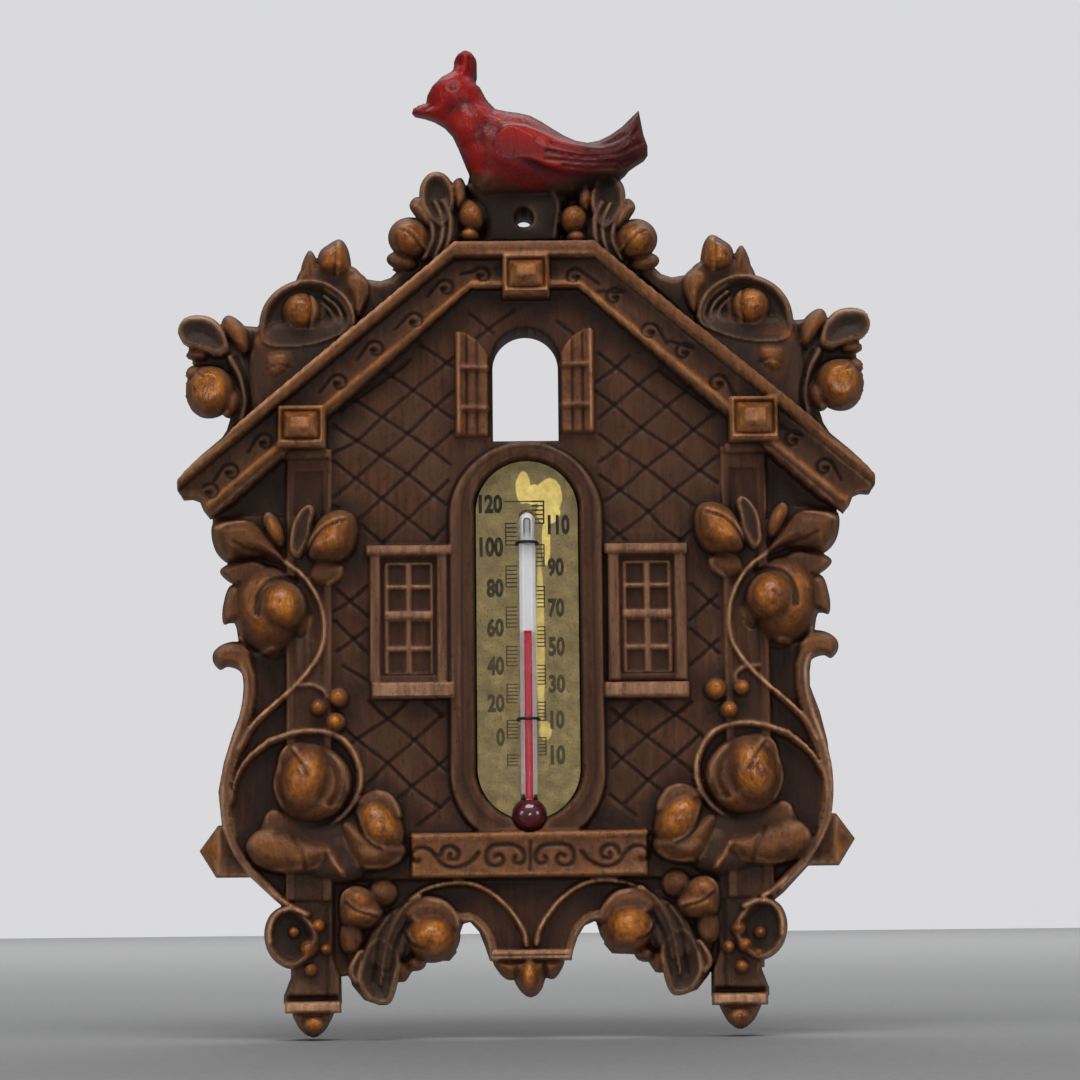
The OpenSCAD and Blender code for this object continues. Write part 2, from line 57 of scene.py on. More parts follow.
def add(name, data):
    """A new object in the scene."""
    made = bpy.data.objects.new(name, data)
    bpy.context.collection.objects.link(made)
    return made


def add_mesh(name, points, faces):
    """A new mesh object from points in metres."""
    mesh = bpy.data.meshes.new(name)
    mesh.from_pydata(points, [], faces)
    mesh.validate()
    return add(name, mesh)


# camera, fitted to the photograph
YAW, PITCH, ROLL = math.radians(0.53), math.radians(8.0), math.radians(-0.58)
TARGET = Vector((2.30, -9.0, -58.0)) * MM
DISTANCE = 534 * MM
LENS, SENSOR_WIDTH = 100.9, 36
forward = Vector((math.sin(YAW) * math.cos(PITCH), math.cos(YAW) * math.cos(PITCH), math.sin(PITCH)))
level = Vector((math.cos(YAW), -math.sin(YAW), 0))
rise = level.cross(forward)
right = level * math.cos(ROLL) + rise * math.sin(ROLL)
up = rise * math.cos(ROLL) - level * math.sin(ROLL)
camera_data = bpy.data.cameras.new("camera")
camera_data.lens = LENS
camera_data.sensor_width = SENSOR_WIDTH
camera = add("camera", camera_data)
turn_to_view = Matrix((right, up, -forward)).transposed().to_4x4()
camera.matrix_world = Matrix.Translation(TARGET - forward * DISTANCE) @ turn_to_view
bpy.context.scene.camera = camera

# the height field
STEP = 0.25
XS = np.arange(-63.5, 63.5 + STEP / 2, STEP)
ZS = np.arange(-146.0, 33.0 + STEP / 2, STEP)
FIELD = (len(ZS), len(XS))
height = np.zeros(FIELD)
outside = np.full(FIELD, 9.0)       # signed distance from the outline, negative on the plaque
warm = np.zeros(FIELD)              # rubbed golden, as on the bulbs
wear_and_highlight = np.zeros(FIELD)              # rubbed to pale tan, as on ridges and bars, and painted highlights where the light catches an edge
dark = np.zeros(FIELD)              # stain gathered in grooves, and painted shade in hollows and on low ground (added further down)
red = np.zeros(FIELD)               # the bird's paint
tone = np.zeros(FIELD)              # darker, greyer ground, as inside the leaves and on the bird's stand

# heights of the main faces above the flat back
GROUND, SKIRT, WALL = 7.5, 8.2, 9.0
PILASTER, RECESS, BAND, ROOF_FACE, RAIL_FACE = 10.1, 7.0, 10.3, 12.0, 14.5


def window(points, pad):
    """The part of the field around some points: its index and its two coordinate arrays."""
    p = np.asarray(points, float)
    lo, hi = p.min(0) - pad, p.max(0) + pad
    i0, i1 = np.clip([int((lo[0] - XS[0]) / STEP), int((hi[0] - XS[0]) / STEP) + 2], 0, len(XS))
    k0, k1 = np.clip([int((lo[1] - ZS[0]) / STEP), int((hi[1] - ZS[0]) / STEP) + 2], 0, len(ZS))
    x, z = np.meshgrid(XS[i0:i1], ZS[k0:k1])
    return (slice(k0, k1), slice(i0, i1)), x, z


def curve(points, closed=False, n=5):
    """A smooth line through the points."""
    p = np.asarray(points, float)
    q = np.vstack([p[-1:], p, p[:2]]) if closed else np.vstack([2 * p[:1] - p[1:2],
            p, 2 * p[-1:] - p[-2:-1]])
    t = np.arange(n)[:, None] / n
    out = []
    for a, b, c, d in zip(q[:-3], q[1:-2], q[2:-1], q[3:]):
        square, cube = 2 * a - 5 * b + 4 * c - d, 3 * b - a - 3 * c + d
        out.append(0.5 * (2 * b + (c - a) * t + square * t**2 + cube * t**3))
    return np.vstack(out if closed else out + [p[-1:]])


def sideways(p):
    """Unit vectors that point across a line, one for each of its points."""
    t = np.gradient(p, axis=0)
    return np.stack([-t[:, 1], t[:, 0]], 1) / np.maximum(np.hypot(t[:, 0], t[:, 1]), 1e-6)[:, None]


def line_distance(x, z, points):
    """Distance from an open line, and how far along it the nearest point lies (0 to 1)."""
    best = np.full(x.shape, 1e9)
    along = np.zeros(x.shape)
    n = len(points) - 1
    for i, (a, b) in enumerate(zip(points[:-1], points[1:])):
        e = b - a
        t = np.clip(((x - a[0]) * e[0] + (z - a[1]) * e[1]) / max(e @ e, 1e-9), 0, 1)
        d = np.hypot(x - a[0] - e[0] * t, z - a[1] - e[1] * t)
        along = np.where(d < best, (i + t) / n, along)
        best = np.minimum(best, d)
    return best, along


def polygon_distance(x, z, points):
    """Signed distance from a closed outline, negative inside."""
    p = np.asarray(points, float)
    best = np.full(x.shape, 1e9)
    inside = np.zeros(x.shape, bool)
    for a, b in zip(p, np.roll(p, -1, 0)):
        e = b - a
        t = np.clip(((x - a[0]) * e[0] + (z - a[1]) * e[1]) / max(e @ e, 1e-9), 0, 1)
        best = np.minimum(best, np.hypot(x - a[0] - e[0] * t, z - a[1] - e[1] * t))
        if a[1] != b[1]:
            inside ^= ((a[1] > z) != (b[1] > z)) & (x < e[0] * (z - a[1]) / e[1] + a[0])
    return np.where(inside, -best, best)


def box_distance(x, z, x0, z0, x1, z1):
    """Signed distance from an upright box, negative inside."""
    return np.maximum(np.abs(x - (x0 + x1) / 2) - (x1 - x0) / 2, np.abs(z - (z0 + z1) / 2) - (z1 - z0) / 2)


def oval_distance(x, z, cx, cz, rx, rz, turn):
    """Signed distance from an oval and its own radius measure (1 at the edge)."""
    c, s = math.cos(math.radians(turn)), math.sin(math.radians(turn))
    u, v = (x - cx) * c + (z - cz) * s, (z - cz) * c - (x - cx) * s
    k = np.hypot(u / rx, v / rz)
    return np.where(k < 0.02, -min(rx, rz), k * (k - 1) / np.maximum(np.hypot(u / rx**2, v / rz**2),
            1e-6)), k


def ramp(v, lo, hi):
    """0 below lo, 1 above hi, and an even curve between them."""
    t = np.clip((v - lo) / (hi - lo), 0, 1)
    return t * t * (3 - 2 * t)


def rounded(u):
    """A quarter round: 0 at the edge (u = 0), 1 and level at u = 1."""
    return np.sqrt(1 - (1 - u) ** 2)


def bell(d, half):
    """A soft line: 1 on it, fading to both sides."""
    return np.exp(-(d / half) ** 2)


def blend_max(a, b, k):
    """The higher of two heights, with a fillet of size k where they meet."""
    h = np.maximum(k - np.abs(a - b), 0) / k
    return np.maximum(a, b) + h * h * k / 4


def lay(w, distance, level_here, outer=False, k=0.3):
    """Raises the field to level_here inside the outline; outer ones belong to the plaque's own outline."""
    height[w] = np.where(distance < 0, blend_max(height[w], level_here, k), height[w])
    if outer:
        outside[w] = np.minimum(outside[w], distance)


def tint(layer, w, amount):
    """Paints a layer, where it isn't painted more strongly already."""
    layer[w] = np.maximum(layer[w], amount)


def fresh(w, distance, reach=0.4):
    """A feature that lies on top clears what was painted under it."""
    keep = ramp(distance, -reach, 0.0)
    for layer in (warm, wear_and_highlight, dark, tone):
        layer[w] *= keep


class Side:
    """Places a cluster: drawn for the left side, shifted there or mirrored to the right."""

    def __init__(self, sign, dx=0.0, dz=0.0):
        self.sign, self.dx, self.dz = sign, dx, dz

    def points(self, points):
        """Points drawn for the left side, moved to where this side has them."""
        p = np.asarray(points, float).copy()
        p[:, 0] = self.sign * p[:, 0] + self.dx
        p[:, 1] += self.dz
        return p

    def bulb(self, cx, cz, rx, rz, top, base=8.0, turn=0, glow=1.0, k=0.3):
        """A rounded bulb: steep at its edge, rubbed golden over its middle."""
        (cx, cz), turn = self.points([(cx, cz)])[0], turn * self.sign
        r = max(rx, rz)
        w, x, z = window([(cx - r, cz - r), (cx + r, cz + r)], 1.5)
        distance, m = oval_distance(x, z, cx, cz, rx, rz, turn)
        fresh(w, distance)
        lay(w, distance, base + (top - base) * np.sqrt(np.clip(1 - m * m, 0, 1)), outer=True, k=k)
        tint(warm, w, glow * ramp(1 - m, 0.1, 0.72) * (distance < 0))

    def dome(self, points, top, base=8.0, reach=3.0, glow=0.6, smooth=True, leaf=0.0):
        """A pillow-shaped lobe of any outline."""
        p = self.points(points)
        p = curve(p, closed=True) if smooth else p
        w, x, z = window(p, 1.5)
        distance = polygon_distance(x, z, p)
        fresh(w, distance)
        u = np.clip(-distance / reach, 0, 1)
        lay(w, distance, base + (top - base) * rounded(u), outer=True)
        tint(warm, w, glow * ramp(u, 0.15, 0.9) * (distance < 0))
        tint(tone, w, leaf * (distance < 0))

    def spoon(self, points, top, dish=1.5, rim=0.5, base=7.0, edge=0.8, reach=4.5):
        """A hollow leaf lobe with a thin rubbed rim."""
        p = curve(self.points(points), closed=True)
        w, x, z = window(p, 1.5)
        distance = polygon_distance(x, z, p)
        fresh(w, distance)
        u = np.clip(-distance / rim, 0, 1)
        bowl = dish * ramp(-distance, rim * 0.7, reach)
        lay(w, distance, base + (top - base) * rounded(u) - bowl, outer=True)
        tint(wear_and_highlight, w, edge * bell(-distance - rim * 0.75, 0.22) * (distance < 0.1))
        tint(tone, w, ramp(-distance, rim * 1.2, rim + 0.8))
        tint(dark, w, 0.28 * ramp(-distance, rim, rim + 2.4))

    def ridge(self, points, half, top, edge=0.6, taper=(1.0, 1.0), outer=False, side=0.0, crown=1.0):
        """A raised line; side moves its rubbed edge to one flank and crown sets how round it is."""
        p = curve(self.points(points))
        w, x, z = window(p, half + 1.0)
        d, along = line_distance(x, z, p)
        r = half * (taper[0] + (taper[1] - taper[0]) * along)
        u = np.clip(d / r, 0, 1)
        lay(w, d - r, top - crown * r * (1 - np.sqrt(1 - u * u)), outer, k=0.15)
        if side:
            d, _ = line_distance(x, z, p + sideways(p) * side * self.sign)
        tint(wear_and_highlight, w, edge * bell(d, min(0.5 * half, 0.26)))

    def groove(self, points, half=0.45, depth=0.5, stain=1.0):
        """A carved line with stain gathered in it."""
        p = curve(self.points(points))
        w, x, z = window(p, half + 0.6)
        d, _ = line_distance(x, z, p)
        u = np.clip(1 - (d / half) ** 2, 0, 1)
        height[w] -= depth * u
        tint(dark, w, stain * u)
        wear_and_highlight[w] *= 1 - u

    def wear_and_highlight_line(self, points, half=0.35, edge=0.8):
        """A pale tan line with no height of its own: rubbed wear, in some places a painted highlight."""
        p = curve(self.points(points))
        w, x, z = window(p, half * 3)
        d, _ = line_distance(x, z, p)
        tint(wear_and_highlight, w, edge * bell(d, half))

    def crease(self, points, half=0.4, depth=0.7, edge=0.7):
        """A fold in a bulb: a groove with a rubbed lip beside it."""
        self.groove(points, half, depth, 0.8)
        p = np.asarray(points, float)
        self.wear_and_highlight_line(p + sideways(p) * 0.55, 0.3, edge)


LEFT, RIGHT, HERE = Side(1), Side(-1), Side(1)


def bar(x0, z0, x1, z1, top, edge=0.0, round_by=0.35, outer=False, base=7.0):
    """A straight bar with softened edges."""
    w, x, z = window([(x0, z0), (x1, z1)], 1.2)
    distance = box_distance(x, z, x0, z0, x1, z1)
    fresh(w, distance, 0.2)
    u = np.clip(-distance / round_by, 0, 1)
    lay(w, distance, top - round_by * (1 - rounded(u)), outer, k=0.05)
    tint(wear_and_highlight, w, edge * (distance < 0))


def sunk(x0, z0, x1, z1, level_here, stain=0.5):
    """A sunk rectangle with one floor."""
    w, x, z = window([(x0, z0), (x1, z1)], 0.6)
    distance = box_distance(x, z, x0, z0, x1, z1)
    height[w] = np.where(distance < 0, level_here, height[w])
    wear_and_highlight[w] = np.where(distance < 0, 0, wear_and_highlight[w])
    tint(dark, w, stain * (distance < 0))


ROOF_SLOPE = 0.846


def roof_line(x, flat, top):
    """Height of a gable line: level over its flat middle, then falling to both sides."""
    return top - ROOF_SLOPE * np.maximum(np.abs(x) - flat, 0)


def stadium_distance(x, z, half, top, foot):
    """Signed distance from an upright slot with round ends."""
    return np.hypot(x, z - np.clip(z, foot + half, top - half)) - half


# wall, roof and the straight work
EAVE = [(-60.6, -45.7), (-61.9, -47.2), (-61.8, -49.2), (-60.6, -50.9), (-58.8, -50.8), (-57.3, -51.3),
        (-56.7, -52.8), (-55.5, -54.3), (-54.2, -53.0)]
EAVE_RIGHT = [(-x, z) for x, z in EAVE[::-1]]
BODY = [(-54.6, -46), (-55.2, -56), (-49.6, -60), (-50, -76), (-49.3, -83.5), (-50, -88), (-51.5, -92),
        (-53, -97), (-53.9, -102), (-53.3, -107.5), (-51, -113), (-48.3, -116.8), (-44.2, -120.6),
        (-41.3, -123.0), (-41.3, -134), (-32.4, -133.9), (-31.2, -133.7), (-29.5, -130), (-22, -130.8),
        (-14, -130.5), (-12.4, -127.4), (-11.6, -125.1), (-10.4, -124.8), (-8.9, -126.5), (-7.9, -129),
        (-7.1, -131.4)]
BODY_RIGHT = [(7, -131.4), (7.3, -129.8), (8.1, -127.5), (9.3, -125.6), (11.2, -124.8), (12.0, -127.4),
              (14, -130.4), (22, -130.8), (29.5, -130), (31.2, -132.5), (33.4, -133.4), (40.2, -133),
              (40.2, -123.0), (43.7, -120.3), (48, -115.8), (50.6, -112), (52.4, -105), (52.5, -100),
              (51.9, -94), (50.7, -89), (49.1, -84.5), (49.1, -82), (50, -76), (49.6, -60), (54.6, -55),
              (54, -46)]
RAIL_FLAT, RAIL_TOP = 12.4, -4.9
FASCIA_FLAT, FASCIA_FOOT = 9.6, -13.2
ROOF = [(-RAIL_FLAT, RAIL_TOP)] + EAVE + [(-FASCIA_FLAT, FASCIA_FOOT), (FASCIA_FLAT, FASCIA_FOOT)]
ROOF += EAVE_RIGHT + [(RAIL_FLAT, RAIL_TOP)]

w, x, z = window(BODY + BODY_RIGHT + [(0, -9)], 1.5)
body = polygon_distance(x, z, BODY + BODY_RIGHT + [(9, -12), (-9, -12)])
lay(w, body, GROUND, outer=True)
inner = np.maximum(body, np.abs(x) - 42.5)
lay(w, np.maximum(inner, -117.5 - z), WALL)
lay(w, body, SKIRT)

# lattice of tiles: two families of lines, drawn on the wall between the pilasters
LATTICE = [
    [(-33.5, -30.5), (-30, -32.8), (-25.5, -35.8), (-21, -38.8), (-16.8, -41.8), (-13.5, -44.5)],
    [(-34.2, -37.2), (-30, -40), (-25.7, -42.8), (-21, -46.1), (-16.5, -49.8), (-13.7, -52)],
    [(-34.2, -43.6), (-30.2, -46.8), (-25.6, -50.4), (-21, -54.1), (-16.5, -57.8)],
    [(-34.2, -51.5), (-30, -54.6), (-25.5, -58.4)],
    [(-27.5, -26), (-24, -28.2), (-20, -31), (-16, -34), (-12.8, -36.2)],
    [(-19, -22.5), (-16, -24.6), (-13, -26.8)], [(-10, -17), (-7.4, -19.2), (-5.6, -20.8)],
    [(-34.2, -42.2), (-30, -40), (-25.5, -35.8), (-20, -31), (-15.5, -27.4), (-12.6, -25)],
    [(-34.2, -50.2), (-30.2, -46.8), (-25.7, -42.8), (-21, -38.8), (-16, -34), (-12.8, -31.3)],
    [(-33.5, -57.5), (-30, -54.5), (-25.6, -50.4), (-21, -46.1), (-16.8, -41.8), (-12.8, -38.4)],
    [(-25.4, -58.3), (-21, -54.1), (-16.5, -49.8), (-13.8, -47.2)], [(-16.8, -58), (-13.8, -55)],
    [(-33, -34.5), (-30, -32.2), (-24, -28.2), (-20.5, -25.4)], [(-9, -22), (-6, -19.6), (-2, -16.5)],
    [(-34.3, -70.5), (-31.5, -68.8), (-28.2, -66)], [(-33.6, -66.5), (-28, -71.5)],
    [(-34, -72), (-28, -78)],
    [(-33.5, -77.5), (-28, -73.5)], [(-28.5, -82.5), (-32.5, -80)],
    [(-28, -86.2), (-24.4, -89.6), (-20, -93.2), (-15.7, -97.5), (-14, -99)],
    [(-33, -90.5), (-28.8, -94), (-24.7, -97.2), (-20.5, -101.3), (-15.6, -105)],
    [(-28.4, -101), (-24.7, -97.2), (-20, -93.2), (-15, -88.6)],
    [(-24, -104.5), (-20.5, -101.3), (-15.7, -97.5), (-14, -96)],
    [(-31, -93.5), (-24.4, -89.2), (-21.5, -86.4)], [(-15, -88.9), (-18, -86.3)],
    [(-19.5, -108), (-15.6, -105), (-14, -103.4)],
    [(13, -39.2), (16.2, -41.8), (21.1, -45.3), (26, -49.3), (31, -53.2)],
    [(12.4, -31.4), (15.7, -34), (20.3, -38), (25.8, -41.8), (29.5, -45), (33.8, -48)],
    [(13, -24.6), (17.5, -28.2), (22, -32), (25, -34.3), (29.5, -38.3), (34, -41.8)],
    [(12.9, -46.5), (16.5, -49.3), (21.3, -53), (24, -56), (27.5, -58.5)], [(13.8, -55), (17.5, -58.3)],
    [(5.6, -18.6), (8.6, -21)], [(24, -27.8), (28, -30.8), (33, -34.5)],
    [(13, -44.2), (16.2, -41.8), (20.3, -38.2), (25, -34.3), (27.5, -32.3), (30, -30.4)],
    [(13.8, -51.3), (17.5, -48.5), (21.1, -45.3), (25.8, -41.8), (29.5, -38.8), (33.6, -35.4)],
    [(15, -58), (18.5, -55.6), (21.5, -53.2), (26, -49.5), (30.5, -46), (34, -43.2)],
    [(13, -36.4), (15.7, -34), (22, -28.8), (24.5, -27)], [(27, -58.5), (31, -55), (34, -52.3)],
    [(12.6, -29.8), (15.8, -27.4), (18.5, -25)], [(28.6, -66), (33.6, -70.5)], [(28.5, -72.5), (33.5, -68)],
    [(28.5, -74), (33.6, -78.4)], [(28.4, -80.5), (33.4, -76)],
    [(14.5, -88), (20.6, -92.9), (25.4, -96.6), (29, -99.6)], [(22, -86.4), (27.5, -90.4), (30.5, -93)],
    [(14.2, -94.9), (16.2, -96.7), (19.7, -99.7), (23.5, -102.8)], [(14, -103), (18.5, -106.6)],
    [(14.4, -98.3), (20.6, -92.9), (25.5, -89.2), (28.5, -86.9)],
    [(16.6, -104.5), (20.2, -101), (25.4, -96.6), (29.8, -92.8)],
    [(13.9, -91.4), (18.5, -87), (19.5, -86.3)]]
for line in LATTICE:
    HERE.groove(line, 0.38, 0.34, 0.8)

# pilasters with a sunk panel
PILASTER_FOOT = -121
for x0, x1 in ((-42.5, -34.3), (34.3, 42.3)):
    bar(x0, PILASTER_FOOT, x1, -41.5, PILASTER, 0.0, 0.4)
    sunk(x0 + 1.7, PILASTER_FOOT, x1 - 1.6, -45.6, 9.6, 0.12)
    inner_edge = x0 + (0.5 if x0 > 0 else 7.7)
    HERE.wear_and_highlight_line([(inner_edge, -120), (inner_edge, -45)], 0.22, 0.16)

# surround of the scale: a flat band with a stepped lip, cut off by the shelf
w, x, z = window([(-15, -112), (15, -39)], 1)
band = np.maximum(stadium_distance(x + 0.2, z, 13.7, -40.4, -112.6), -109.6 - z)
fresh(w, band)
lay(w, band, BAND - 0.5 * (1 - ramp(-band, 0, 0.5)), k=0.1)
tint(dark, w, 0.95 * bell(band, 0.45))
tint(wear_and_highlight, w, 0.16 * bell(band + 0.6, 0.3))
LIP_WIDE = 2.0
recess = stadium_distance(x, z, 9.5, -43.5, -107.3)
lip = np.clip(recess / LIP_WIDE, 0, 1)
on_lip = (recess > 0) & (recess < LIP_WIDE) & (band < 0)
height[w] = np.where(on_lip, BAND - 1.0 + rounded(lip), height[w])
height[w] = np.where(recess < 0, RECESS, height[w])
tint(dark, w, 0.8 * bell(recess - 0.1, 0.35))
tint(dark, w, 0.8 * bell(recess - 2.2, 0.25))
tint(wear_and_highlight, w, 0.2 * bell(recess - 2.8, 0.25) * (z > -108))
CLIP_HEIGHTS = (-58.5, -89.6)
for clip_z in CLIP_HEIGHTS:
    sunk(-4.6, clip_z - 0.9, 4.6, clip_z + 0.9, 6.3, 0)

# windows: frame, sash with eight panes, lintel and sill
WINDOW_FOOT, WINDOW_TOP = -83.2, -60.6
SASH = 4.3
for cx, lintel, sill in ((-20.85, (-28.3, -60.6, -13.3, -58.9), (-27.5, -86.0, -12.9, -83.1)),
                         (21.0, (13.5, -60.6, 28.2, -58.8), (13.4, -86.0, 28.2, -83.3))):
    bar(cx - 6.9, WINDOW_FOOT, cx + 6.9, -60.3, PILASTER, 0.0, 0.3)
    sunk(cx - 4.9, -82.0, cx + 4.9, -61.2, 9.4, 0.2)
    for x0, x1 in ((cx - 6.8, cx - 4.9), (cx + 4.9, cx + 6.8)):
        bar(x0, WINDOW_FOOT, x1, WINDOW_TOP, 10.7, 0.16, 0.35)
    bar(cx - SASH, -81.7, cx + SASH, -61.9, 9.9, 0.16, 0.25)
    for x0, x1 in ((cx - 3.65, cx - 0.5), (cx + 0.5, cx + 3.65)):
        for z0, z1, floor_here, stain in ((-65.85, -62.3, 9.0, 0.12), (-70.5, -66.6, 9.0, 0.12),
                                          (-76.7, -72.3, 9.15, 0.05), (-81.3, -77.5, 9.15, 0.05)):
            sunk(x0, z0, x1, z1, floor_here, stain)
    bar(cx - SASH, -71.9, cx + SASH, -70.6, 10.3, 0.4, 0.3)
    bar(cx - 0.5, -81.7, cx + 0.5, -62.0, 10.0, 0.3, 0.3)
    for z0, z1 in ((-66.6, -65.9), (-77.5, -76.8)):
        bar(cx - 4.1, z0, cx + 4.1, z1, 10.0, 0.34, 0.25)
    bar(*lintel, 11.3, 0.34, 0.4)
    bar(*sill, 11.8, 0.40, 0.45)

# shutters: three planks and two rails, rounded to the arch at the top
for hinge in (LEFT, Side(-1, -0.3, 0.5)):
    shape = hinge.points([(-12.3, -39.3), (-12.3, -20.5), (-10.6, -20.7), (-8.6, -22), (-7.3, -23.6),
                          (-6.5, -25.2), (-6.5, -39.3)])
    w, x, z = window(shape, 1.0)
    d = polygon_distance(x, z, shape)
    fresh(w, d, 0.2)
    u = np.clip(-d / 0.4, 0, 1)
    lay(w, d, 10.2 - 0.4 * (1 - rounded(u)), k=0.05)
    tint(warm, w, 0.2 * (d < 0))
    hinge.groove([(-10.5, -39), (-10.5, -21.2)], 0.3, 0.5, 0.8)
    hinge.groove([(-8.6, -39), (-8.6, -22.6)], 0.3, 0.5, 0.8)
    hinge.ridge([(-11.9, -39), (-11.9, -21)], 0.45, 11.0, 0.85)
    for top in (-27.1, -34.4):
        hinge.ridge([(-11.6, top), (-6.9, top - 0.1)], 0.65, 10.9, 0.3)
    hinge.groove([(-6.5, -39.2), (-6.5, -25.4)], 0.3, 0.6, 0.8)


def curl(cx, cz, r, start, sweep, tail=None, half=0.34, depth=0.42):
    """An incised spiral, with its tail running on along the band."""
    n = 16
    a = np.radians(np.linspace(start, start + sweep, n))
    rad = r * (1 - 0.62 * np.linspace(0, 1, n))
    pts = list(zip(cx + rad * np.cos(a), cz + rad * np.sin(a)))
    HERE.groove((([tail] if tail else []) + pts), half, depth, 0.95)
    HERE.groove([pts[-1], (cx, cz)], 0.5, 0.4, 0.9)


def corbel(x0, x1, z0, z1, shade):
    """A framed block with a blunt pyramid on it; a painted highlight on its lower parts and one side."""
    w, x, z = window([(x0, z0), (x1, z1)], 1.2)
    inset = -box_distance(x, z, x0, z0, x1, z1)
    fresh(w, -inset, 0.2)
    face = np.where(inset < 0.9, 15.0 - 0.35 * np.clip(1 - inset / 0.35, 0, 1),
                    np.minimum(14.3 + (inset - 1.1) * 1.7, 17.0))
    height[w] = np.where(inset > 0, face, height[w])
    frame_here = (inset > 0) & (inset < 0.85)
    tint(warm, w, 0.4 * (inset > 0))
    # painted highlight on the frame's foot and on one side of it, the side that shade picks
    tint(wear_and_highlight, w, 0.8 * frame_here * ((z < z0 + 0.9) | ((x - (x0 + x1) / 2) * shade > 2.6)))
    tint(dark, w, 0.8 * bell(inset - 1.05, 0.3))
    # painted highlight on the pyramid's lower half
    tint(wear_and_highlight, w, 0.55 * (inset > 1.3) * (z < (z0 + z1) / 2 + 0.8))


# shelf with incised scrolls, and the apron below it
bar(-20.6, -117.0, 20.4, -109.3, 11.6, 0.0, 0.5)
w, x, z = window([(-20.6, -117), (20.4, -109)], 0)
tint(warm, w, 0.30 * (np.abs(x) < 20.4))
HERE.wear_and_highlight_line([(-20.2, -110.5), (0, -110.2), (20, -109.8)], 0.42, 0.8)
HERE.ridge([(-20.2, -110.0), (20, -109.6)], 0.6, 12.3, 0.5)
HERE.wear_and_highlight_line([(-20, -116.6), (20, -116.3)], 0.3, 0.5)
for s in (LEFT, RIGHT):
    for line in ([(-20.4, -114.2), (-20.6, -113.0), (-19.5, -112.1), (-17.8, -112.2), (-16.4, -113.3),
                  (-15.4, -114.7), (-13.8, -115.5), (-11.8, -115.3), (-10.1, -114.3), (-8.9, -112.9)],
                 [(-20.2, -113.9), (-19.7, -114.6), (-19.1, -114.1)],
                 [(-15.5, -113.3), (-14.8, -112.0), (-13.3, -111.9), (-12.3, -113.0), (-12.9, -114.1),
                  (-14.0, -113.9), (-13.8, -113.1)],
                 [(-6.0, -113.7), (-5.1, -113.3), (-4.6, -114.4), (-5.7, -115.3), (-7.2, -114.9),
                  (-7.6, -113.4), (-6.9, -112.0), (-5.2, -111.6), (-2.8, -111.7), (-1.4, -112.5),
                  (-0.9, -113.9), (-1.6, -114.9), (-2.7, -114.6), (-2.6, -113.6)]):
        s.groove(line, 0.46, 0.5, 0.95)
HERE.groove([(0.1, -111), (0, -116)], 0.35, 0.45, 0.9)
for s in (LEFT, Side(-1, 0.3, 0.2)):
    s.ridge([(-24.0, -125.5), (-22.6, -122.5), (-20.4, -120.4), (-17, -118.6), (-12, -117.9), (-8, -119),
             (-4.2, -122), (-1.4, -126), (-0.7, -128.8)], 0.45, 9.7, 1.0)
    s.ridge([(-14.5, -123.6), (-12, -123.9), (-9.8, -124.3), (-7.6, -126.4), (-6.5, -129.4), (-6.3, -131)],
            0.8, 10.3, 0.8, side=-0.35, crown=0.6)
bar(-7.1, -131.5, 7.0, -129.7, 10.6, 0.7, 0.45, outer=True)
HERE.groove([(-6.6, -130.6), (6.4, -130.5)], 0.22, 0.25, 0.6)

# pendant under the apron
HERE.dome([(-6.4, -131.2), (-5.6, -133.4), (-3.9, -134.8), (-2.0, -134.2), (-1.8, -131.2)],
          10.2, 5, 2.0, 0.25)
HERE.dome([(1.8, -131.2), (2.2, -134), (3.8, -134.7), (5.1, -133.3), (5.6, -131.2)], 10.2, 5, 2.0, 0.15)
HERE.dome([(-3.2, -131.2), (-2.9, -134.8), (-1.7, -136.9), (-0.3, -137.8), (1.1, -137.3), (2.2, -135.4),
           (2.6, -131.2)], 10.8, 5, 2.4, 0.2)
HERE.bulb(-0.3, -133.9, 1.5, 3.2, 12.0, 8, 0, 1.0)


